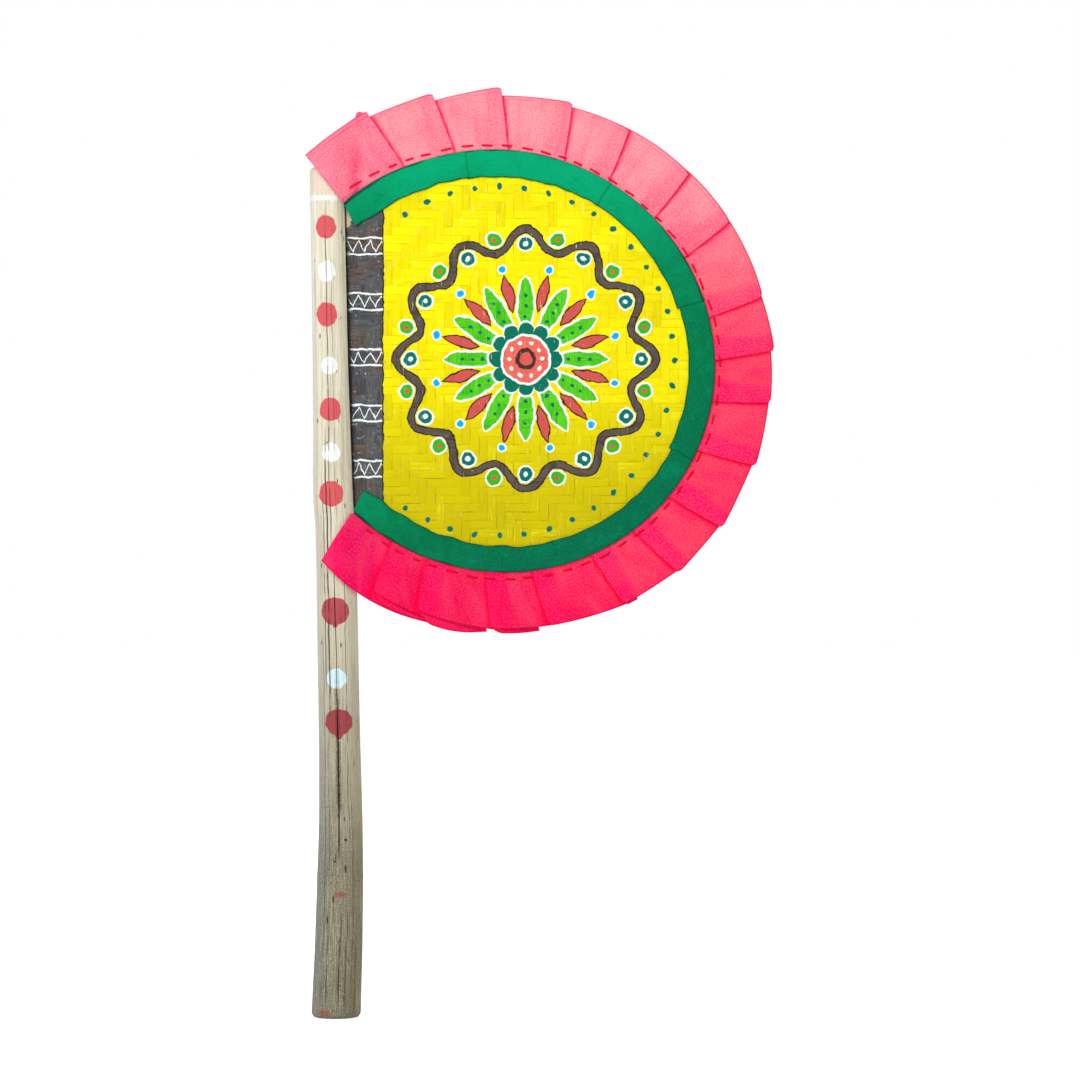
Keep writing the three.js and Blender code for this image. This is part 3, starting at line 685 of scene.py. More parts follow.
wobble = (f.noise(f.x, f.y, f.z, scale=0.35) - 0.5) * 1.8 + (fibre_fine - 0.5) * 0.5
for dots, paint, low_paint in DOT_PAINTS:
    nearest = 100.0
    for side, height, size in dots:
        nearest = f.smaller(f.distance(around - side, f.z - height) - size, nearest)
    coat = f.coats(
        f.mix(f.rise(up, 0.4, 0.62), low_paint, paint),
        (f.rise(fibre_fine, 0.48, 0.7) * 0.4, [round(v * 0.7) for v in paint]),
        (cracks * 0.85, (92, 40, 36)),
    )
    straw = f.mix(f.inside(nearest + wobble, 0.0, 0.25) * 0.97, straw, coat)

shine = 0.52 + fibre_fine * 0.25
relief = fibre_fine * 0.7 + fibre_wide * 0.4 + crumbs * worn * 0.6 - cracks * 1.4 - torn - specks
handle.data.materials.append(bamboo.finish_with(straw, shine, relief, 0.3))
print("bamboo nodes", len(bamboo.tree.nodes))

# %% [markdown]
# ## The woven mat
#
# The mat is a twill: each splint passes over three of the others and under three, and each row steps
# one to the side, which draws slanted ribs that turn back at the middle. A flat picture of a weave
# would look dead from the side, so every splint is a real strip. A strip starts as a narrow grid, its
# points are set on the path over and under, and a Solidify modifier gives it its thickness.

# %% Layout of the weave
UPRIGHT_SPLINTS = 44
CROSS_SPLINTS = 50
SPLINT_THICKNESS = 0.3
SPLINT_GAP = 0.06
WEAVE_LIFT = 0.18
TWILL_FLOAT = 3
HERRINGBONE_TURN = 24
CELL_STEPS = 4
CROWN = 0.05
SPLINT_EDGE_ANGLE = 45
FEWEST_CELLS = 3
MAT_PAST_AXIS = 0.6
RIM_CLEARANCE = 0.3


def mat_edge_x(height):
    return axis_x(height) - MAT_PAST_AXIS


def rim_where(value, low, high, coordinate):
    """The angle between low and high at which the mat's rim reaches that x or z, by halving."""
    sign = 1 if coordinate(high) > coordinate(low) else -1
    for _ in range(40):
        middle = (low + high) / 2
        if (coordinate(middle) - value) * sign < 0:
            low = middle
        else:
            high = middle
    return (low + high) / 2


def rim_x(angle):
    return BLADE_CENTRE_X + (rim_radius(angle) - TAPE_OVER_RIM) * math.cos(math.radians(angle))


def rim_z(angle):
    return BLADE_HEIGHT + (rim_radius(angle) - TAPE_OVER_RIM) * math.sin(math.radians(angle))


rim_right = rim_x(0)
rim_top, rim_foot = rim_z(90), rim_z(-90)
mat_foot_angle = rim_where(0, -170, -120, lambda a: rim_x(a) - mat_edge_x(rim_z(a)))
first_upright = mat_edge_x(rim_z(mat_foot_angle))
upright_pitch = (rim_right - first_upright) / UPRIGHT_SPLINTS
cross_pitch = (rim_top - rim_foot) / CROSS_SPLINTS


def upright_in_front(upright, cross):
    slant = cross if cross < HERRINGBONE_TURN else 2 * HERRINGBONE_TURN - cross
    return (upright + slant) % (2 * TWILL_FLOAT) < TWILL_FLOAT


def level(along, first, pitch, in_front):
    """The lift of a splint at a place along it: front or back of the mat, with soft steps between."""
    cell = (along - first) / pitch
    here = math.floor(cell)
    part = cell - here
    mine, other = in_front(here), in_front(here + (1 if part > 0.5 else -1))
    blend = smooth((abs(part - 0.5) - 0.2) / 0.6)
    lift = (1 if mine else -1) * (1 - blend) + (1 if other else -1) * blend
    return WEAVE_LIFT * lift


print("splint pitches", round(upright_pitch, 2), round(cross_pitch, 2))


# %% One splint, and the pairs that stand for each packed strip
def add_splint(name, low_end, high_end, half, cells, place):
    """A strip of the mat: its ends are functions of the place across it, so that they follow the rim."""
    select_only()
    bpy.ops.mesh.primitive_grid_add(x_subdivisions=2, y_subdivisions=cells * CELL_STEPS, size=2)
    strip = bpy.context.object
    strip.name = name
    for vertex in strip.data.vertices:
        across, part = vertex.co.x * half, (vertex.co.y + 1) / 2
        along = low_end(across) + (high_end(across) - low_end(across)) * part
        crown = CROWN * (1 - vertex.co.x ** 2)
        vertex.co = Vector(place(across, along, crown)) * MM
    return strip


def thicken(piece, thickness):
    """Gives a flat piece its thickness, half of it on each side."""
    solid = piece.modifiers.new("thickness", "SOLIDIFY")
    solid.thickness = thickness * MM
    solid.offset = 0
    finish_modifiers(piece)


def make_strips(name, strips, node, finish):
    """Joins neighbouring splints, gives them their thickness, and lets them stand for a packed strip."""
    select_only(*strips)
    bpy.ops.object.join()
    pair = bpy.context.object
    pair.name = pair.data.name = name
    thicken(pair, SPLINT_THICKNESS)
    face_outwards()
    bpy.ops.object.shade_smooth_by_angle(angle=math.radians(SPLINT_EDGE_ANGLE))
    settle(pair)
    pair.data.materials.append(finish)
    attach(pair, "root")
    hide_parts(node)


def upright_splint(index):
    middle = first_upright + (index + 0.5) * upright_pitch

    def end(low, high):
        inside_rim = rim_right - RIM_CLEARANCE
        return lambda across: rim_z(rim_where(min(middle + across, inside_rim), low, high, rim_x))

    def place(across, along, crown):
        front = lambda row: upright_in_front(index, row)
        return (middle + across, -level(along, rim_foot, cross_pitch, front) - crown, along)

    foot_end, top_end = end(-180, 0), end(0, 180)
    cells = max(FEWEST_CELLS, round((top_end(0) - foot_end(0)) / cross_pitch))
    half = (upright_pitch - SPLINT_GAP) / 2
    return add_splint(f"upright_{index}", foot_end, top_end, half, cells, place)


def cross_splint(index):
    middle = rim_foot + (index + 0.5) * cross_pitch

    def height_of(across):
        return min(max(middle + across, rim_foot + RIM_CLEARANCE), rim_top - RIM_CLEARANCE)

    def right(across):
        return rim_x(rim_where(height_of(across), -90, 90, rim_z))

    def left(across):
        height = height_of(across)
        arc = (90, 180) if height > BLADE_HEIGHT else (-180, -90)
        return max(mat_edge_x(height), rim_x(rim_where(height, *arc, rim_z)))

    def place(across, along, crown):
        under = lambda row: not upright_in_front(row, index)
        return (along, -level(along, first_upright, upright_pitch, under) - crown, middle + across)

    cells = max(FEWEST_CELLS, round((right(0) - left(0)) / upright_pitch))
    half = (cross_pitch - SPLINT_GAP) / 2
    return add_splint(f"cross_{index}", left, right, half, cells, place)


# %% [markdown]
# ### Paint on the mat
#
# The front of the mat is painted by hand. The ground is yellow, brushed along the splints, so fine
# streaks follow each splint and a dark line shows in places where two meet. The design is a general
# folk one of this lesson's own: a flower in the middle, a wavy vine round it with a disc in each
# bend, dots inside the tape, and a plain dark border beside the handle with zigzag bands. It is worked
# out as distances from circles and lines, so it stays sharp at any size. The back is left bare.

# %% Ground, dots inside the tape, and border
BORDER_X = 20.5
BAND_FIRST, BAND_PITCH = 253.5, 24.5
ZIGZAG_PITCH, ZIGZAG_HALF, RAIL_FROM_MIDDLE, BAND_LINE_HALF = 5, 3.2, 3.5, 0.42
CULM_EDGE_X = axis_x(BLADE_FOOT_HEIGHT) + culm_radius(BLADE_FOOT_HEIGHT)
CULM_EDGE_LEAN = (CULM_EDGE_X - axis_x(SLOT_TOP) - culm_radius(SLOT_TOP)) / (SLOT_TOP - BLADE_FOOT_HEIGHT)
EDGE_DOT_RADIUS, EDGE_DOT_COUNT, EDGE_DOT_SIZE = 76.8, 44, 1.25
EDGE_DOT_SIDE = -0.6
WHITE, INK, TEAL = (240, 250, 250), (30, 26, 34), (0, 112, 98)


def beside_culm(f):
    """How far a place on the mat is from the culm's edge, which leans."""
    return f.x - (CULM_EDGE_X - (f.z - BLADE_FOOT_HEIGHT) * CULM_EDGE_LEAN)


def painted_ground(f, streak, shade):
    """Yellow, brushed along the splints, darker toward the foot as painted shade, and darker where shade is
    1.
    """
    low_patch = f.noise(f.x, 21.0, f.z, scale=0.03)
    return f.coats(
        # Painted shade: the yellow darkens toward the foot, where less light falls
        f.mix(f.rise(f.z, 212, 306), (203, 188, 0), (254, 239, 0)),
        (f.rise(streak, 0.52, 0.7) * 0.55, (214, 196, 0)),
        (f.rise(1 - streak, 0.58, 0.72) * 0.5, (255, 249, 60)),
        (f.rise(low_patch, 0.45, 0.7) * 0.35, (226, 208, 0)),
        (shade, (150, 134, 0)),
    )


def edge_dots(f, picture, x, z):
    """A row of dots inside the tape, which stops short of the border."""
    bx, bz = x - BLADE_CENTRE_X, z - BLADE_HEIGHT
    place = bz.sums("ARCTAN2", bz, bx) / math.tau * EDGE_DOT_COUNT + 0.5
    beside = (place % 1 - 0.5) * (math.tau * EDGE_DOT_RADIUS / EDGE_DOT_COUNT)
    number = place.sums("FLOOR", place)
    side = number.sums("COSINE", number * (math.tau / EDGE_DOT_COUNT))
    off_border = f.rise(side, EDGE_DOT_SIDE, EDGE_DOT_SIDE + 0.01)
    dot = f.inside(f.distance(f.distance(bx, bz) - EDGE_DOT_RADIUS, beside), EDGE_DOT_SIZE)
    return f.mix(dot * off_border, picture, TEAL)


def painted_border(f, picture, x, z, streak):
    """The dark border beside the handle, browned in places, with zigzag bands and a painted shadow along the
    handle.
    """
    brushed = f.rise(streak, 0.35, 0.7)
    browned = f.rise(f.noise(x, 3.0, z, scale=0.09, detail=3), 0.46, 0.6)
    band = (z - BAND_FIRST) % BAND_PITCH - BAND_PITCH / 2
    half = ZIGZAG_PITCH / 2
    zigzag = abs(band - (abs(x % ZIGZAG_PITCH - half) * 2 - half) * 0.95)
    zigzag = f.inside(zigzag, BAND_LINE_HALF) * f.inside(abs(band), ZIGZAG_HALF)
    rails = f.inside(abs(abs(band) - RAIL_FROM_MIDDLE), BAND_LINE_HALF)
    dark = f.coats(
        f.mix(brushed, (92, 92, 92), (56, 64, 74)),
        (browned * 0.7, f.mix(brushed, (108, 90, 80), (70, 58, 54))),
        (f.larger(rails, zigzag), WHITE),
        # A soft painted shadow on the border beside the handle
        (f.inside(beside_culm(f), 1.2, 1.2) * 0.6, INK),
    )
    gap = x - BORDER_X
    return f.coats(picture, (f.inside(gap, 0.5), INK), (f.inside(gap, -0.1), dark))


# %% Vine and flower
FLOWER_X, FLOWER_Z = 83.5, 289.5
FLOWER_PETALS, FLOWER_PIPS = 12, 10
VINE_RADIUS, VINE_WAVE, VINE_HALF, VINE_OUTLINE = 52.5, 4.6, 1.35, 0.55
PETAL_FROM, PETAL_LENGTH, PETAL_SPREAD, PETAL_DOT_PITCH = 12, 23, 9.4, 4.6
SPEAR_FROM, SPEAR_LENGTH, SPEAR_SPREAD = 21.5, 16, 8.8
BEAD_RADIUS, PIP_RADIUS, SCALLOP_RADIUS, SCALLOP_BULGE = 40.6, 7.4, 12.2, 4.2


def vine_and_flower(f, picture, x, z, streak):
    """Rings round one middle: a wavy vine with discs, petals and spears, scallops, and a disc with pips."""
    dx, dz = x - FLOWER_X, z - FLOWER_Z
    radius = f.distance(dx, dz)
    turns = dz.sums("ARCTAN2", dz, dx) / math.tau
    petal = (turns * FLOWER_PETALS + 0.5) % 1 - 0.5
    petal_arc = radius * (math.tau / FLOWER_PETALS)
    beside_petal = abs(petal) * petal_arc
    beside_gap = (0.5 - abs(petal)) * petal_arc

    # Wavy vine with a disc in each bend
    sway = petal.sums("COSINE", petal * math.tau)
    slope_squared = (1 - sway * sway) * (VINE_WAVE * FLOWER_PETALS / VINE_RADIUS) ** 2
    off_vine = abs(radius - VINE_RADIUS - sway * VINE_WAVE) / ((1 + slope_squared) ** 0.5)
    vine = f.mix(f.rise(streak, 0.4, 0.75), (96, 84, 78), (62, 54, 56))
    picture = f.mix(f.inside(off_vine, VINE_HALF + VINE_OUTLINE), picture, INK)
    picture = f.mix(f.inside(off_vine, VINE_HALF), picture, vine)
    discs = [(beside_petal, -1.6, TEAL, WHITE), (beside_gap, 1.6, (58, 178, 26), (216, 88, 80))]
    for beside, shift, paint, heart in discs:
        disc = f.distance(radius - VINE_RADIUS - shift, beside)
        for size, coat in [(3.75, WHITE), (2.95, paint), (1.05, heart)]:
            picture = f.mix(f.inside(disc, size), picture, coat)

    # Petals with dark dots, and a coral spear and a bead between them
    reach = (radius - PETAL_FROM) / PETAL_LENGTH
    petal_gap = beside_petal - ((f.larger(reach * (1.08 - reach), 0.0) ** 0.5) * PETAL_SPREAD - 0.8)
    row = (radius - 16.5) % PETAL_DOT_PITCH - PETAL_DOT_PITCH / 2
    dots = f.inside(f.distance(beside_petal, row), 0.78) * (1 - f.rise(radius, 31, 31.5))
    leaf = f.mix(f.rise(streak, 0.35, 0.75), (92, 208, 30), (44, 168, 22))
    spear = (radius - SPEAR_FROM) / SPEAR_LENGTH
    spear_gap = beside_gap - f.larger(spear * (1 - spear), -0.4) * SPEAR_SPREAD
    bead = f.distance(radius - BEAD_RADIUS, beside_gap)

    # Scallops, disc and middle of the flower
    scallop_gap = radius - (SCALLOP_RADIUS + ((1 - (2 * petal) ** 2) ** 0.5) * SCALLOP_BULGE)
    coral = f.mix(f.rise(streak, 0.4, 0.75), (234, 108, 94), (208, 84, 80))
    beside_pip = ((turns * FLOWER_PIPS + 0.5) % 1 - 0.5) * radius * (math.tau / FLOWER_PIPS)
    shapes = [(spear_gap, 0.45, INK), (spear_gap, -0.15, (206, 84, 80)),
              (bead, 2.2, WHITE), (bead, 1.55, (0, 176, 236)),
              (petal_gap, 0.0, WHITE), (petal_gap, -0.95, f.mix(dots, leaf, (0, 108, 96))),
              (scallop_gap, 0.7, WHITE), (scallop_gap, -0.25, (0, 112, 88)),
              (radius, 11.2, WHITE), (radius, 10.1, coral),
              (f.distance(beside_pip, radius - PIP_RADIUS), 0.95, WHITE),
              (radius, 4.6, (74, 44, 42)), (radius, 2.9, (214, 92, 84))]
    return f.coats(picture, *[(f.inside(gap, edge), paint) for gap, edge, paint in shapes])


# %% The painted finish, for either direction of splint
UNPAINTED_X, UNPAINTED_Z = 8.4, 352.5


def folk_design(f, streak, shade):
    """The picture's colour at a place, which wavers a little, as a brush does."""
    wave = f.noise(f.x, 0.0, f.z, scale=0.16)
    wave_fine = (f.noise(f.x, 3.0, f.z, scale=0.55, detail=1) - 0.5) * 0.7
    x = f.x + (wave - 0.5) * 2.4 + wave_fine
    z = f.z + (f.noise(f.x, 7.0, f.z, scale=0.16) - 0.5) * 2.4 + wave_fine
    picture = edge_dots(f, painted_ground(f, streak, shade), x, z)
    return painted_border(f, vine_and_flower(f, picture, x, z, streak), x, z, streak)


def mat_finish(name, along_z):
    """The mat's finish: streaks run along the splints, and edges are worked out from their layout."""
    f = Finish(name, 0.6, Specular_IOR_Level=0.07)
    along, across = (f.z, f.x) if along_z else (f.x, f.z)
    first, pitch = (first_upright, upright_pitch) if along_z else (rim_foot, cross_pitch)
    count = (across - first) / pitch
    number = count.sums("FLOOR", count)
    streak = f.noise(across, number * 3.7, along * 0.09, scale=1.5, detail=3, roughness=0.6)
    tone = f.node("ShaderNodeTexWhiteNoise", {"noise_dimensions": "1D"}, {"W": number})
    edge = abs(count % 1 - 0.5) * 2
    in_border = f.inside(f.x, BORDER_X - 1, 1)

    # Dark seams between splints, chips at their edges, scrapes, smears, a corner that the brush missed, and a
    # painted shadow in the gap beside the handle
    short = f.noise(across * 0.25, number * 2.3, along * 0.16, scale=0.7, detail=1)
    seam = f.rise(edge, 0.84, 0.96) * f.rise(short, 0.56, 0.66) * (1.15 - f.rise(f.z, 230, 330) * 0.5)
    chips = f.noise(across * 1.1, number, along * 0.5, scale=0.8)
    bare = f.rise(chips, 0.68, 0.74) * f.rise(edge, 0.5, 0.9) * (0.35 + in_border * 0.4)
    scrapes = f.noise(f.x * 1.3, 17.0, f.z * 0.17, scale=0.9, roughness=0.6)
    scraped = f.rise(scrapes, 0.66, 0.76) * (1 - in_border) * (0.2 + f.rise(f.z, 240, 330) * 0.45)
    smears = f.noise(f.x * 0.8, 31.0, f.z, scale=0.6, detail=3, roughness=0.7)
    off_corner = (f.x - UNPAINTED_X) * 0.75 - (f.z - UNPAINTED_Z) * 0.5 + (smears - 0.5) * 5
    unpainted = f.inside(off_corner, 0.0, 0.6) * f.rise(f.z, 330, 340)
    # The ground's shade is each splint's own tone, plus a painted sheen: the upright splints are painted
    # darker than the cross ones
    picture = f.coats(
        folk_design(f, streak * 0.85 + tone * 0.15, (tone * 0.5 + (0.3 if along_z else 0.0)) * 0.26),
        (seam * 0.6, (104, 96, 18)),
        (bare, (226, 222, 204)),
        (scraped, (250, 240, 168)),
        (in_border * f.rise(smears, 0.56, 0.7) * 0.5, (146, 154, 158)),
        (unpainted * 0.9, (214, 196, 160)),
        # Painted shadow in the gap beside the handle, nearly black along the culm's edge
        (f.inside(beside_culm(f) + (smears - 0.5) * 0.8, 0.5, 0.35) * 0.9, (24, 18, 16)),
    )
    skin = f.coats(
        f.mix(tone, (226, 210, 164), (208, 190, 138)),
        (f.rise(streak, 0.45, 0.75) * 0.55, (168, 148, 98)),
        (seam * 0.6, (110, 92, 52)),
    )
    normal = f.node("ShaderNodeTexCoord", {}, {}, out="Normal")
    to_front = f.node("ShaderNodeSeparateXYZ", {}, {0: normal}, out="Y")
    tint = f.mix(f.inside(to_front, -0.35, 0.1), skin, picture)
    return f.finish_with(tint, 0.5 + streak * 0.25, streak, 0.12)


upright_finish = mat_finish("painted_upright_splints", True)
cross_finish = mat_finish("painted_cross_splints", False)
print("mat nodes", len(upright_finish.node_tree.nodes))

# %% Weave the mat
for k in range(UPRIGHT_SPLINTS // 2):
    strips = [upright_splint(2 * k + n) for n in (0, 1)]
    make_strips(f"upright_pair_{k + 1:02d}", strips, f"upright_splints_{k + 1:02d}", upright_finish)
for k in range(CROSS_SPLINTS // 2):
    strips = [cross_splint(2 * k + n) for n in (0, 1)]
    make_strips(f"cross_pair_{k + 1:02d}", strips, f"cross_splints_{k + 1:02d}", cross_finish)
print("splints woven", UPRIGHT_SPLINTS + CROSS_SPLINTS)

# %% [markdown]
# ## Cloth as a sheet
#
# Tape and ribbon are flat strips of cloth whose shape is known at every point, so they are laid out
# directly: a grid of points, where rows run along the strip and columns across it. The flat cloth's
# own coordinates are kept as a UV map, so that its threads follow every fold.

# %% A sheet of cloth from a grid of points
def add_mesh(name, points, faces):
    mesh = bpy.data.meshes.new(name)
    mesh.from_pydata([tuple(p) for p in points], [], faces)
    piece = bpy.data.objects.new(name, mesh)
    bpy.context.scene.collection.objects.link(piece)
    return piece


def cloth_sheet(name, points, flat, thickness, marks=None):
    """points and flat are grids of places and of flat coordinates. marks are values kept on the mesh."""
    rows, columns = len(points), len(points[0])
    faces = []
    for r in range(rows - 1):
        for c in range(columns - 1):
            a = r * columns + c
            faces.append((a, a + 1, a + columns + 1, a + columns))
    piece = add_mesh(name, [p for row in points for p in row], faces)
    layer = piece.data.uv_layers.new(name="ribbon")
    flat_list = [uv for row in flat for uv in row]
    for loop in piece.data.loops:
        layer.data[loop.index].uv = flat_list[loop.vertex_index]
    for mark, grid in (marks or {}).items():
        attribute = piece.data.attributes.new(mark, "FLOAT", "POINT")
        attribute.data.foreach_set("value", [float(v) for row in grid for v in row])
    thicken(piece, thickness)
    bpy.ops.object.shade_smooth()
    return piece


def strip_size(points):
    """(width, length) in metres of a strip of cloth, measured along its own middle lines."""
    grid = np.array(points)
    length = np.linalg.norm(np.diff(grid, axis=1), axis=2).sum(axis=1)
    width = np.linalg.norm(np.diff(grid, axis=0), axis=2).sum(axis=0)
    return float(np.median(width)), float(np.median(length))


def cloth_threads(f, pitch):
    """A place's flat coordinates along and across the cloth, in millimetres, and the weave that is there."""
    flat = f.node("ShaderNodeUVMap", {"uv_map": "ribbon"}, {})
    u, v = (f.node("ShaderNodeSeparateXYZ", {}, {0: flat}, out=axis) * 1000 for axis in "XY")
    warp, weft = (part.sums("SINE", part * (math.tau / pitch)) for part in (u, v))
    return u, v, warp * weft * 0.5 + 0.5


# %% [markdown]
# ## Green tape
#
# The tape is narrow woven cloth, folded along both edges and glued on round the rim in six lengths.
# Each length ends over the start of the next, so a thin step shows at each join, and their inner
# edges don't quite line up. It lies on the mat at its inner edge and on the ribbon's margin outside,
# so the profile across it has a soft step.

# %% Lay the tape
TAPE_JOIN_ANGLES = [100, 58.5, 17, -26.5, -73]
TAPE_WIDTHS = [(12.9, 11.4), (12.0, 11.3), (11.2, 12.2), (11.2, 11.6), (10.3, 11.2), (10.9, 12.2)]
BACK_TAPE_WIDTHS = (12.1, 11.6)
TAPE_END_SLANT_ANGLE, TAPE_SLANT_LENGTH = 2.4, 6
TAPE_END_TAPER, TAPE_TAPER_LENGTH = 1.9, 7
TAPE_COLUMN_STEP = 0.8
TAPE_ROWS = 15
JOIN_LAP, JOIN_LIFT, JOIN_LIFT_LENGTH = 1.1, 0.4, 4
TAPE_ON_MAT = MAT_HALF + 0.3
TAPE_ON_RIBBON = 2.5
TAPE_STEP_LENGTH = 7.7
TAPE_FOLD, TAPE_TUCK, TAPE_PUCKER = 0.16, 0.3, 0.035
# Its two folded edges: where they are across it, and how softly they stand up
TAPE_FOLD_PLACES = ((0.06, 0.035), (0.94, 0.03))
random.seed(11)


def tape_step(out):
    """0 at the tape's inner edge, and 1 where it is up on the ribbon's margin."""
    return math.sin(math.pi / 2 * min(max((out + TAPE_WIDTH) / TAPE_STEP_LENGTH, 0), 1))


def tape_profile(part, width):
    """(out, lift) across the tape: on the mat at its inner edge, then up over the ribbon's margin."""
    out = -width * (1 - part)
    lift = TAPE_ON_MAT + (TAPE_ON_RIBBON - TAPE_ON_MAT) * tape_step(out)
    inner, outer = (math.exp(-(((part - at) / soft) ** 2)) for at, soft in TAPE_FOLD_PLACES)
    tuck = TAPE_TUCK * smooth((part - 0.97) / 0.03)
    return out, lift + (TAPE_FOLD * inner + TAPE_FOLD * outer) - tuck


def lay_tape(name, angle_from, angle_to, widths, slants, lap=0, side=1):
    """A length of tape. slants turn its two ends, and its lap lies over the next length's start."""
    waves = [(random.uniform(8, 30), random.uniform(0, 6.3), random.uniform(0.04, 0.13)) for _ in range(5)]
    slant_from, slant_to = slants
    middle = RIM_RADIUS - TAPE_WIDTH / 2
    angle_to -= math.degrees(lap / middle)
    length = math.radians(angle_from - angle_to) * middle
    columns = max(8, round(length / TAPE_COLUMN_STEP))
    points, flat = [], []
    for r in range(TAPE_ROWS):
        part = r / (TAPE_ROWS - 1)
        row, flat_row = [], []
        for c in range(columns + 1):
            t = c / columns
            along, to_end = t * length, (1 - t) * length
            width = widths[0] + (widths[1] - widths[0]) * t
            width += sum(size * math.sin(along / pitch * math.tau + phase) for pitch, phase, size in waves)
            to_cut = min(along if slant_from else length, to_end if slant_to else length)
            out, lift = tape_profile(part, width - TAPE_END_TAPER * smooth(1 - to_cut / TAPE_TAPER_LENGTH))
            if side < 0:
                lift -= (TAPE_ON_RIBBON - TAPE_ON_MAT) * tape_step(out)
            pucker = sum(math.sin(along * math.tau / (pitch * 0.6) + phase + 2 * part)
                         for pitch, phase, _ in waves)
            lift += TAPE_PUCKER * pucker * math.sin(math.pi * part)
            end_slant = slant_from * max(0, 1 - along / TAPE_SLANT_LENGTH)
            end_slant += slant_to * max(0, 1 - to_end / TAPE_SLANT_LENGTH)
            if lap:
                lift += JOIN_LIFT * smooth(1 - to_end / JOIN_LIFT_LENGTH)
                end_slant += 0.5 * math.sin(3 * part) * max(0, 1 - to_end / 3)
            angle = angle_from + (angle_to - angle_from) * t - end_slant * out / TAPE_WIDTH
            point = rim_point(angle, out, lift if side > 0 else 0)
            row.append(point if side > 0 else (point[0], lift * MM, point[2]))
            flat_row.append((along * MM, part * width * MM))
        points.append(row)
        flat.append(flat_row)
    if side > 0:
        points, flat = points[::-1], flat[::-1]
    tape = cloth_sheet(name, points, flat, TAPE_THICKNESS)
    return tape, strip_size(points)


# The front tape's two ends lie a little over the culm, because they are in front of its widest part
tape_cuts = [TAPE_TOP_END + TAPE_PAST_END_ANGLE, *TAPE_JOIN_ANGLES, TAPE_FOOT_END - TAPE_PAST_END_ANGLE]
tapes = []
for n, widths in enumerate(TAPE_WIDTHS):
    is_last = n == len(TAPE_WIDTHS) - 1
    slants = (0 if n else TAPE_END_SLANT_ANGLE, -TAPE_END_SLANT_ANGLE if is_last else 0)
    tape, size = lay_tape(f"green_tape_{n + 1}", tape_cuts[n], tape_cuts[n + 1], widths, slants,
                          lap=0 if is_last else JOIN_LAP)
    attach(tape, "root")
    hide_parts(f"front_tape_{n + 1:02d}")
    tapes.append(tape)
    print(tape.name, "flat size", [round(v, 4) for v in size])

back_slants = (TAPE_END_SLANT_ANGLE, -TAPE_END_SLANT_ANGLE)
back_tape, back_size = lay_tape("green_tape_back", TAPE_TOP_END, TAPE_FOOT_END, BACK_TAPE_WIDTHS, back_slants,
                                side=-1)
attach(back_tape, "root")
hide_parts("back_tape")
tapes.append(back_tape)
print("back tape flat size", [round(v, 4) for v in back_size])

# %% [markdown]
# ### Tape finish
#
# Dyed cotton tape is deep green with uneven patches where the glue shows through. Its weave is a fine
# cross of threads along and across the tape, so it reads the strip's own flat coordinates.

# %% Green cotton
TAPE_THREAD_PITCH = 0.55

tape_cloth = Finish("green_cotton_tape", 0.9, Specular_IOR_Level=0.08)
f = tape_cloth
u, v, threads = cloth_threads(f, TAPE_THREAD_PITCH)
slub = f.noise(u * 0.25, v * 3, scale=0.9)
fluff = f.noise(u, v, scale=1.1, detail=3, roughness=0.7)
blotch = f.noise(f.x, 0.0, f.z, scale=0.045, detail=3)
mottle = f.noise(f.x, 2.0, f.z, scale=0.2, detail=3)

# The tape is paler toward the top and toward the handle, partly from fading and partly as painted
# light, but its top end has stayed deep
fade_and_light = (f.z - BLADE_HEIGHT) / 190 - (f.x - BLADE_CENTRE_X) / 380
fade_and_light = fade_and_light + (1 - f.rise(f.x, 16, 44)) * (0.2 - f.rise(f.z, 260, 300) * 0.6)

# Its two edges are in shade, and the fold inside shows as a faint line
ragged = v + (fluff - 0.5) * 0.9
hem_shade = f.inside(ragged, 0.45, 0.25) + f.rise(ragged, TAPE_WIDTH - 0.55, TAPE_WIDTH - 0.1)
fold_line = f.inside(abs(v - 1.25), 0.14, 0.16) * f.rise(slub, 0.38, 0.6)
green = f.coats(
    f.mix(f.rise(fade_and_light, -0.62, -0.1), (0, 94, 64), (0, 108, 62)),
    (f.rise(fade_and_light, -0.18, 0.36), (0, 166, 112)),
    (f.rise(blotch, 0.45, 0.72) * 0.14, (0, 168, 116)),
    (f.rise(1 - blotch, 0.5, 0.75) * 0.2, (0, 98, 62)),
    (f.rise(slub, 0.5, 0.8) * 0.3, (0, 96, 66)),
    (f.rise(mottle, 0.48, 0.7) * 0.13, (0, 172, 120)),
    (f.rise(1 - mottle, 0.5, 0.7) * 0.15, (0, 96, 62)),
    (f.rise(fluff, 0.42, 0.7) * 0.16, (10, 186, 134)),
    (f.rise(1 - fluff, 0.46, 0.72) * 0.2, (0, 84, 56)),
    (threads * 0.08, (30, 190, 140)),
    (hem_shade * 0.7, (0, 62, 42)),
    (fold_line * 0.35, (0, 66, 44)),
)
green_material = tape_cloth.finish_with(green, None, threads * 0.5 + slub * 0.6 + fluff, 0.12)
for tape in tapes:
    tape.data.materials.append(green_material)
print("tape nodes", len(tape_cloth.tree.nodes))

# %% [markdown]
# ## The pleated ribbon
#
# The frill is one thin cotton ribbon. At each knife pleat it turns back under itself and forward
# again, so three layers lie over each other beside each fold. Its length is used up mostly at the
# rim, and the pleats open toward the hem, because the hem's circle is larger. Every line of the grid
# runs along the whole ribbon, fold by fold, with small round turns at the folds. The panels are then
# puffed, tilted and wrinkled a little, each by its own amount.

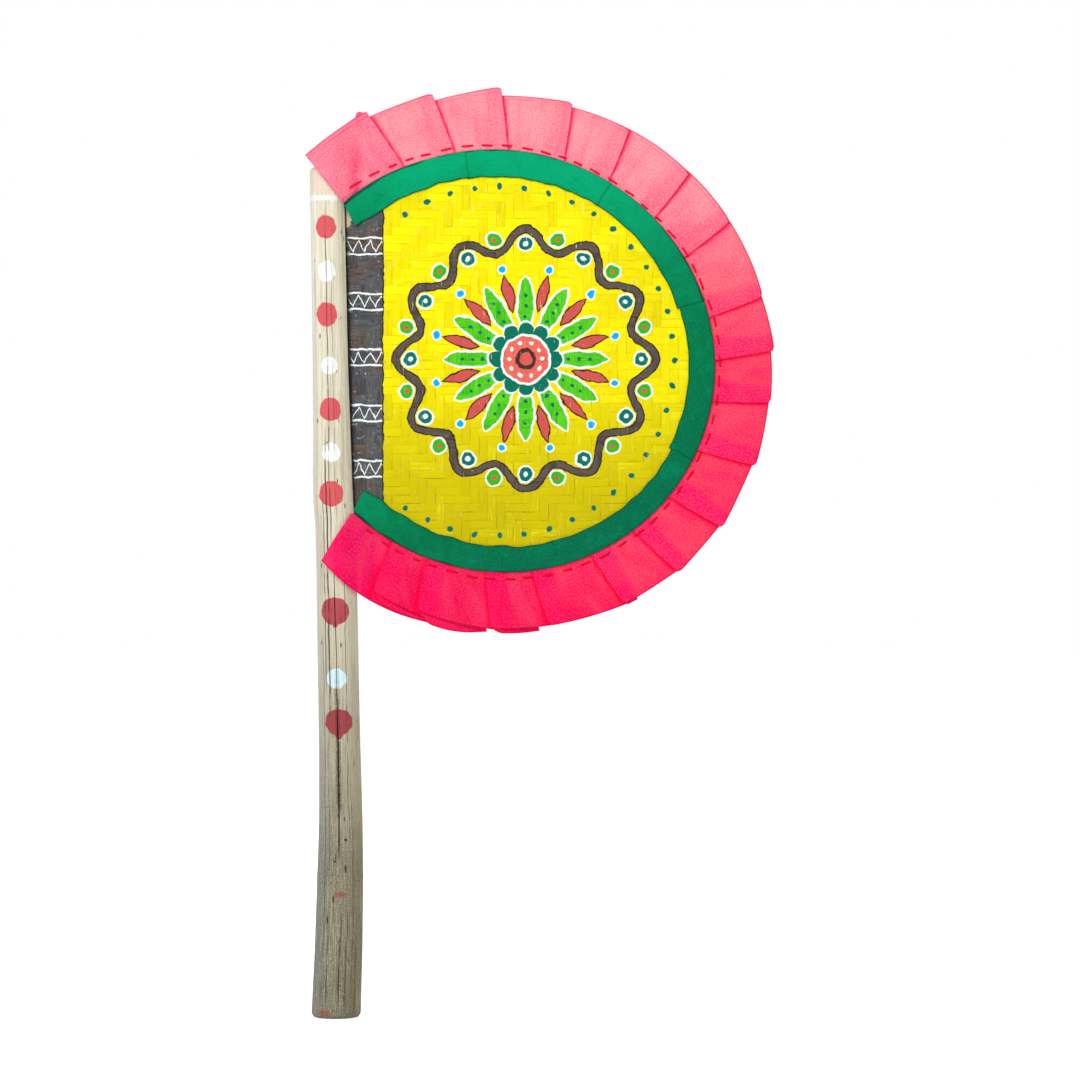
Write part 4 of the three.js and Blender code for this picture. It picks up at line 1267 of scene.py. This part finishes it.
# %% Pleats
PLEAT_FOLD_ANGLES = [117, 103, 88.5, 73, 59.5, 43.5, 30, 12.5, 1, -10, -23.5, -38, -51, -64, -80.5, -93,
                     -109.5, -120]
PLEAT_SLANT_ANGLE = 2
OVERLAP_AT_RIM, OVERLAP_AT_HEM = 10.4, 7
RISE_AT_RIM, RISE_AT_HEM = 1.0, 1.9
FRILL_PAST_END_ANGLE = 0.6
FRILL_TOP_END_SLANT_ANGLE = 1.2
FRILL_FOOT_END_SLANT_ANGLE = 2.5
RIBBON_THICKNESS = 0.16
# Each panel's hem, from the top end round: how far it stands past the rest at its start and at its
# fold, and how far its middle falls below an even curve
HEM_SETS = [(0.6, 3.4, 1.1), (0.4, 1.8, 0.6), (-1.8, 1.6, 0.7), (-2.0, -0.2, 0.7), (-2.3, -1.4, 0.1),
            (-1.4, -0.9, -0.2), (-0.9, -0.4, -0.3), (-0.6, -0.7, -0.2), (-1.5, 0.5, 0.1), (-1.2, -0.4, 0.1),
            (-1.2, 0.5, 0.5), (-0.9, 1.2, 1.0), (0.1, 1.2, 0.9), (0.6, 0.1, 0.7), (0.7, -0.9, 0.5),
            (-1.0, -0.8, 0.1), (0.7, -2.6, 0.2), (0.4, -2.6, -0.3), (0.9, -1.0, -1.7)]
# The cloth turns in a little at each fold's corner
CORNER_DROP, CORNER_LENGTH = 0.9, 2.2
# The last folds turn back much further than the rest, at the rim and at the hem
LONG_OVERLAPS = {15: (18, 22), 16: (24, 33), 17: (22, 30)}
PANEL_STEPS = 28
RETURN_STEPS = 9
TURN_STEPS = 4
TURN_SIZE, LARGEST_TURN_PART = 0.7, 0.3
RIBBON_LINES = 32
DENT_HALF = 1.7
# How far the painted shade in each fold's crease reaches, and how wide the painted shadow is that each fold
# casts on the next panel, at the rim and at the hem
CREASE_LENGTH = 0.8
SHADE_AT_RIM, SHADE_AT_HEM = 1.0, 2.3
FREE_END_LIFT = 0.6
WRINKLE_HEIGHT, WRINKLE_REACH = 0.13, 7
SWELL_HEIGHT, SWELL_FULL_AT = 0.16, 20
random.seed(5)
PANEL_PUFFS = [random.uniform(0.5, 1.5) for _ in HEM_SETS]
PANEL_SKEWS = [random.uniform(0.35, 0.65) for _ in HEM_SETS]
PLEAT_OPENS = [random.uniform(0.85, 1.6) for _ in PLEAT_FOLD_ANGLES]
# Dents that run up from the stitches: where they start in the panel, how far they lean, how deep
PANEL_DENTS = [[(random.uniform(0.3, 0.85), random.uniform(-0.25, 0.25), random.uniform(0.1, 0.4))
                for _ in range(3)] for _ in HEM_SETS]
PANEL_DENTS[0][0] = (0.5, 0.22, 0.75)
PLEAT_OPENS[16] = 1.83
# Folds whose turned-back layer peeps out past the hem, and by how much
PEEPING_LAYERS = {0: 3.8, 15: 0.3, 16: 1.7, 17: 0.4}
WRINKLES = [(random.uniform(2.2, 4.6), random.uniform(0, 6.3), random.uniform(0.4, 1.0)) for _ in range(7)]
SWELLS = [(random.uniform(14, 40), random.uniform(0, 6.3), random.uniform(-0.05, 0.05)) for _ in range(6)]


def fold_places(out):
    """One line's start and length, and where each fold shows and turns back, in degrees from its start."""
    shown = max(out, 0) / FRILL_SHOWS
    start = TAPE_TOP_END + FRILL_PAST_END_ANGLE - FRILL_TOP_END_SLANT_ANGLE * shown
    length = start - (TAPE_FOOT_END - FRILL_PAST_END_ANGLE + FRILL_FOOT_END_SLANT_ANGLE * shown)
    folds = []
    for fold, angle in enumerate(PLEAT_FOLD_ANGLES):
        at_rim, at_hem = LONG_OVERLAPS.get(fold, (OVERLAP_AT_RIM, OVERLAP_AT_HEM))
        overlap = at_rim + (at_hem - at_rim) * shown
        turned = angle + PLEAT_SLANT_ANGLE * (shown - 0.5)
        showing = start - turned
        folds.append((showing, showing - math.degrees(overlap / (rim_radius(turned) + out))))
    return start, length, folds


def fold_lift(fold, shown):
    """How far a fold stands off the mat. Some pleats are pressed flat at the hem, and some stand open."""
    return RISE_AT_RIM + (RISE_AT_HEM * PLEAT_OPENS[fold] - RISE_AT_RIM) * shown


def common_wave(angle, out):
    """Wrinkles out from the stitches, the same for every layer, so that none cuts through another."""
    along = math.radians(angle) * RIM_RADIUS
    near = math.exp(-((max(out - 1.5, 0) / WRINKLE_REACH) ** 2)) * smooth(out / 2)
    fine = sum(size * math.sin(math.tau * along / pitch + phase) for pitch, phase, size in WRINKLES)
    broad = sum(math.sin(math.tau * along / pitch + phase + out * drift * 2)
                for pitch, phase, drift in SWELLS)
    return WRINKLE_HEIGHT * fine * near + SWELL_HEIGHT * broad * smooth(out / SWELL_FULL_AT)


def ribbon_line(out):
    """Points, marks and flat lengths of one line along the ribbon."""
    start, length, folds = fold_places(out)
    shown = max(out, 0) / FRILL_SHOWS
    degree = math.radians(1) * (RIM_RADIUS + out)
    knots = [(0.0, 0.0)]
    for fold, (showing, hidden) in enumerate(folds):
        knots += [(showing, fold_lift(fold, shown)), (hidden, 0.0)]
    knots.append((length, FREE_END_LIFT * shown))
    samples = []
    for k in range(len(knots) - 1):
        (a0, l0), (a1, l1) = knots[k], knots[k + 1]
        is_panel = k % 2 == 0
        panel = k // 2
        run = abs(a1 - a0) * degree
        cut = min(TURN_SIZE / run, LARGEST_TURN_PART)
        first = 0 if k == 0 else cut
        last = 1 if k == len(knots) - 2 else 1 - cut
        steps = PANEL_STEPS if is_panel else RETURN_STEPS * (3 if panel in LONG_OVERLAPS else 1)
        hidden_part = 2
        if is_panel and panel < len(folds):
            hidden_part = max((folds[panel][1] - a0) / (a1 - a0), 1 - OVERLAP_AT_RIM / run)
        for n in range(steps + 1):
            t = first + (last - first) * n / steps
            angle_along, lift = a0 + (a1 - a0) * t, l0 + (l1 - l0) * t
            hem_start, hem_fold, hem_dip = HEM_SETS[panel]
            tilt = hem_start + (hem_fold - hem_start) * t - hem_dip * math.sin(math.pi * t)
            from_fold = ((1 - t) if is_panel else t) * run
            corner = CORNER_DROP * smooth(1 - from_fold / CORNER_LENGTH) if panel < len(folds) else 0
            layers, crease, shade = 0.0, 0.0, 0.0
            if is_panel:
                skew = t ** (math.log(0.5) / math.log(PANEL_SKEWS[panel]))
                lift += PANEL_PUFFS[panel] * math.sin(math.pi * skew) * shown ** 1.3
                for dent_from, dent_lean, dent_depth in PANEL_DENTS[panel]:
                    beside = (t - dent_from - dent_lean * shown) * run / DENT_HALF
                    dent = dent_depth * math.exp(-beside * beside)
                    lift -= dent * smooth(shown * 6) * smooth(1.4 - shown * 1.6)
                # Marks for the finish: where three layers lie, where the crease shade is painted, and where
                # the painted shadow of the fold before falls
                layers = smooth((t - hidden_part) * run / 3 + 0.5)
                crease = smooth(1 - (1 - t) * run / CREASE_LENGTH) if panel < len(folds) else 0
                seen_from = (folds[panel - 1][0] - a0) / (a1 - a0) if panel else -9
                shade_length = SHADE_AT_RIM + (SHADE_AT_HEM - SHADE_AT_RIM) * shown
                shade = smooth(1 - abs(t - seen_from) * run / shade_length)
            else:
                tilt = hem_fold + (HEM_SETS[panel + 1][0] - hem_fold) * smooth(4 * t)
                tilt += PEEPING_LAYERS.get(panel, 0) * math.sin(math.pi * t)
                layers, crease = 1.0, smooth(1 - t * run / CREASE_LENGTH)
            samples.append((angle_along, lift, tilt - corner, layers, crease, shade))
        if k < len(knots) - 2:
            # A round turn: its two ends are on the straight runs, and the knot pulls it
            b0, m0 = knots[k + 1]
            c0, n0 = knots[k + 2]
            next_cut = min(TURN_SIZE / (abs(c0 - b0) * degree), LARGEST_TURN_PART)
            begin = samples[-1]
            end_angle, end_lift = b0 + (c0 - b0) * next_cut, m0 + (n0 - m0) * next_cut
            for n in range(1, TURN_STEPS):
                t = n / TURN_STEPS
                pull = [(1 - t) ** 2 * p + 2 * t * (1 - t) * q + t * t * r
                        for p, q, r in ((begin[0], b0, end_angle), (begin[1], m0, end_lift))]
                samples.append((pull[0], pull[1], begin[2], begin[3], 1.0 if is_panel else 0.0, 0.0))
    row, marks = [], []
    for angle_along, lift, tilt, *mark in samples:
        angle = start - angle_along
        reach = out + tilt * shown ** 2
        lift += common_wave(angle, out) + FRILL_BASE + RIBBON_THICKNESS / 2
        row.append(rim_point(angle, reach, lift))
        marks.append(mark)
    return row, marks


RIBBON_WIDTH = FRILL_SHOWS + FRILL_MARGIN
line_places = [-FRILL_MARGIN + RIBBON_WIDTH * n / (RIBBON_LINES - 1) for n in range(RIBBON_LINES)]
ribbon_rows, ribbon_marks = zip(*[ribbon_line(out) for out in line_places])
middle_row = np.array(ribbon_rows[RIBBON_LINES // 2])
run = np.concatenate([[0], np.cumsum(np.linalg.norm(np.diff(middle_row, axis=0), axis=1))])
ribbon_flat = [[(float(s), (out + FRILL_MARGIN) * MM) for s in run] for out in line_places]
marks = {name: [[mark[k] for mark in row] for row in ribbon_marks[::-1]]
         for k, name in enumerate(("layers", "crease", "shade"))}
frill = cloth_sheet("pink_ribbon_frill", ribbon_rows[::-1], ribbon_flat[::-1], RIBBON_THICKNESS, marks)
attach(frill, "root")
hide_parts("pleated_frill")

# %% [markdown]
# ### Ribbon finish
#
# The ribbon is thin and lets light through, so where three layers lie over each other the pink is
# painted deeper, and along the folds a painted shade, and a painted shadow on the next panel, make it
# deepest. The marks that were kept on the mesh say where that is. The top of the fan is a paler pink,
# partly from fading and partly from painted light, so the colour also follows the height. A narrow hem
# is turned under at the edge.

# %% Pink cotton
RIBBON_THREAD_PITCH, RIBBON_RIB_PITCH = 0.9, 1.25
FIRST_PANEL_TO, LAST_PANEL_FROM = 32, 842
FRILL_FOOT_HEIGHT, FRILL_HEIGHT = 165, 240

ribbon_cloth = Finish("pink_cotton_ribbon", 0.88, Specular_IOR_Level=0.04, Subsurface_Weight=0.14,
                      Subsurface_Radius=(1.0, 0.3, 0.4), Subsurface_Scale=0.0012)
f = ribbon_cloth
u, v, threads = cloth_threads(f, RIBBON_THREAD_PITCH)
layers, crease, shade = (f.node("ShaderNodeAttribute", {"attribute_name": mark}, {}, out="Fac")
                         for mark in ("layers", "crease", "shade"))
grain = f.noise(u * 0.8, v * 1.2, scale=1.9, detail=3, roughness=0.7)
blotch = f.noise(u * 0.5, v * 0.5, scale=0.14, detail=3)
folds_tone = f.noise(u * 0.5, v * 0.09, scale=0.5, detail=3)
fleck = f.noise(u, v, scale=1.15, roughness=0.6)
streaks = f.noise(u * 0.12 + v * 0.05, v * 0.04, scale=0.7, detail=1.5)
ribs = (u.sums("SINE", u * (math.tau / RIBBON_RIB_PITCH)) * 0.5 + 0.5) * f.rise(blotch, 0.4, 0.6)

# The pink at the foot, painted lighter where light falls on it, and at the top, paler partly from fading and
# partly from painted light
up = (f.z - FRILL_FOOT_HEIGHT) / FRILL_HEIGHT
fade_and_light = f.rise(up, 0.48, 0.9)
lit = f.rise(up + (f.x - BLADE_CENTRE_X) / 900, 0.06, 0.24)
pink, deep, pale = (f.mix(fade_and_light, f.mix(lit, low, in_light), top) for low, in_light, top in (
    ((242, 0, 74), (255, 64, 96), (255, 150, 160)),
    ((254, 0, 88), (255, 0, 104), (255, 98, 134)),
    ((255, 58, 104), (255, 84, 112), (255, 168, 174))))
# The colour of the painted fold shade and shadow, also used for the hem line
fold_shade_and_hem_red = f.mix(fade_and_light, (255, 0, 68), (255, 16, 92))

# The first panel, by the handle's top, is a deeper pink, with a painted shade along a diagonal wrinkle.
# The last one, over the handle, is the deepest, and the lower panels get a painted sheen: soft slanted
# streaks of light and shade
first_panel = 1 - f.rise(u, FIRST_PANEL_TO, FIRST_PANEL_TO + 6)
last_panel = f.rise(u, LAST_PANEL_FROM, LAST_PANEL_FROM + 8)
first_panel_wrinkle_shade = f.inside(abs(u - 9 - (v - 8) * 0.8), 2.2, 4.2) * (1 - f.rise(v, 16, 27)) * first_panel
low_pleats = 1 - fade_and_light
from_hem = RIBBON_WIDTH - v + (folds_tone - 0.5) * 0.6
sewn_hem = f.inside(abs(from_hem - 1.9), 0.16, 0.16) * f.rise(blotch, 0.4, 0.55)
hem_line = f.larger(sewn_hem * (0.6 + first_panel * 0.4), f.inside(from_hem, 0.5, 0.3))
pink = f.coats(
    pink,
    (first_panel * 0.6, (255, 112, 150)),
    # Painted shade along a diagonal wrinkle in the first panel
    (first_panel_wrinkle_shade * 0.9, (252, 30, 104)),
    (last_panel * 0.7, (255, 0, 112)),
    # Painted sheen: lighter and deeper slanted streaks on the lower panels
    (f.rise(streaks, 0.5, 0.66) * low_pleats * 0.5, (255, 74, 118)),
    (f.rise(1 - streaks, 0.5, 0.66) * low_pleats * 0.5, (240, 0, 88)),
    (f.rise(blotch, 0.5, 0.72) * 0.4, pale),
    (f.rise(1 - blotch, 0.5, 0.7) * 0.35, deep),
    # Painted deeper where three layers lie over each other, as if less light shone through them
    (layers * (0.88 - fade_and_light * 0.43), deep),
    (f.rise(folds_tone, 0.48, 0.7) * 0.35, deep),
    (f.rise(fleck, 0.48, 0.62) * (0.5 - fade_and_light * 0.26), (236, 0, 72)),
    (f.rise(1 - fleck, 0.48, 0.62) * (0.5 - fade_and_light * 0.16), pale),
    (f.rise(grain, 0.46, 0.68) * 0.2, (232, 6, 62)),
    (ribs * (0.3 - fade_and_light * 0.18), pale),
    (threads * 0.08, pale),
    # Painted shade in each fold's crease, and the painted shadow that each fold casts on the next panel
    (f.larger(crease * 0.6, shade), fold_shade_and_hem_red),
    (hem_line * 0.62, fold_shade_and_hem_red),
)
relief = threads * 0.4 + grain * 0.8 + folds_tone * 1.2 - hem_line
frill.data.materials.append(ribbon_cloth.finish_with(pink, None, relief, 0.14))
print("ribbon nodes", len(ribbon_cloth.tree.nodes))

# %% [markdown]
# ## The running stitch
#
# A doubled red thread gathers the pleats about two millimetres outside the tape. It goes over and
# under the ribbon, so on the front it shows as short dashes, unevenly spaced because they are sewn by
# hand. A flat-sided tube is laid along a path that dips through the cloth between the dashes.

# %% Sew the thread
STITCH_PITCH, STITCH_LENGTH = 8.3, 4.3
STITCH_FROM_TAPE = 2.3
DASH_STEPS, GAP_STEPS = 8, 5
GAP_DEPTH = 0.28
THREAD_WIDTH, THREAD_HEIGHT = 0.44, 0.24
THREAD_SIDES = 8
THREAD_END_SHORT_ANGLE = 3.0
random.seed(23)


def stitch_out(angle):
    """The sewn line isn't true: it runs nearer the tape at the top right and wider at the foot."""
    nearer = 1.2 * math.exp(-(((angle - 50) / 34) ** 2))
    wider = 0.8 * math.exp(-(((angle + 85) / 30) ** 2)) + 0.7 * smooth((angle - 112) / 16)
    return STITCH_FROM_TAPE - nearer + wider


def top_of_ribbon(angle, out):
    """The lift of the front of the pleats at a place, over all the layers that lie there."""
    start, length, folds = fold_places(out)
    shown = max(out, 0) / FRILL_SHOWS
    along = start - angle
    begin, best = 0.0, 0.0
    for fold, (showing, hidden) in enumerate(folds):
        if begin <= along <= showing:
            best = max(best, fold_lift(fold, shown) * (along - begin) / (showing - begin))
        begin = hidden
    return best + common_wave(angle, out) + FRILL_BASE + RIBBON_THICKNESS


thread_path = []
angle = TAPE_TOP_END - THREAD_END_SHORT_ANGLE
while angle > TAPE_FOOT_END + THREAD_END_SHORT_ANGLE:
    dash = math.degrees(random.uniform(0.78, 1.2) * STITCH_LENGTH / RIM_RADIUS)
    gap = math.degrees(random.uniform(0.8, 1.25) * (STITCH_PITCH - STITCH_LENGTH) / RIM_RADIUS)
    shift, lean = random.uniform(-0.3, 0.3), random.uniform(-0.35, 0.35)
    for n in range(DASH_STEPS + 1):
        t = n / DASH_STEPS
        here = angle - dash * t
        out = stitch_out(here) + shift + lean * (t - 0.5)
        above = THREAD_HEIGHT * (1.15 - 1.6 * smooth(abs(2 * t - 1) * 5 - 4)) + 0.06 * math.sin(math.pi * t)
        thread_path.append(rim_point(here, out, top_of_ribbon(here, out) + above))
    for n in range(1, GAP_STEPS):
        t = n / GAP_STEPS
        here = angle - dash - gap * t
        lift = FRILL_BASE - GAP_DEPTH * math.sin(math.pi * t)
        thread_path.append(rim_point(here, stitch_out(here) + shift * (1 - t), lift))
    angle -= dash + gap


def flat_tube(name, path, half_width, half_height, sides):
    """A closed tube with an oval section that lies flat on the ribbon."""
    path = np.array(path)
    centre = np.array([BLADE_CENTRE_X * MM, 0, BLADE_HEIGHT * MM])
    points = []
    for k, place in enumerate(path):
        ahead = path[min(k + 1, len(path) - 1)] - path[max(k - 1, 0)]
        ahead /= np.linalg.norm(ahead)
        outward = place - centre
        outward -= ahead * outward.dot(ahead)
        outward[1] *= 0.3
        outward /= np.linalg.norm(outward)
        upward = np.cross(ahead, outward)
        for s in range(sides):
            turn = math.tau * s / sides
            across, over = half_width * math.cos(turn), half_height * math.sin(turn)
            points.append(place + (outward * across + upward * over) * MM)
    faces = []
    for k in range(len(path) - 1):
        for s in range(sides):
            a, b = k * sides + s, k * sides + (s + 1) % sides
            faces.append((a, b, b + sides, a + sides))
    faces.append(tuple(range(sides))[::-1])
    faces.append(tuple(len(points) - sides + s for s in range(sides)))
    piece = add_mesh(name, points, faces)
    select_only(piece)
    face_outwards()
    bpy.ops.object.shade_smooth()
    return piece


thread = flat_tube("red_running_stitch", thread_path, THREAD_WIDTH, THREAD_HEIGHT, THREAD_SIDES)
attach(thread, "root")
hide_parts("frill_thread")

thread_finish = Finish("red_thread", 0.8, Specular_IOR_Level=0.1)
f = thread_finish
ply = f.noise(f.x, f.y, f.z, scale=2.2, detail=3)
# The thread is painted brighter toward the top, where more light falls
bright_red = f.mix(f.rise(f.z, 250, 370), (236, 0, 44), (250, 8, 70))
red = f.mix(f.rise(ply, 0.35, 0.7), bright_red, (214, 0, 44))
thread.data.materials.append(thread_finish.finish_with(red, None, ply, 0.08))
print("thread points", len(thread_path))

# %% [markdown]
# ## Glue in the handle
#
# A bead of dried glue holds the mat's straight edge inside the handle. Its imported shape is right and
# hardly shows, so it stays, and only gets an amber, slightly cloudy finish.

# %% Dried glue
glue_finish = Finish("dried_glue", 0.35)
f = glue_finish
cloud = f.noise(f.x, f.y, f.z, scale=0.5, detail=3)
amber = f.mix(f.rise(cloud, 0.35, 0.7), (206, 172, 104), (166, 128, 66))
glue_material = glue_finish.finish_with(amber, 0.3 + cloud * 0.2, cloud, 0.1)
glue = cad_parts["edge_glue_bead"]
glue.data.materials.clear()
glue.data.materials.append(glue_material)
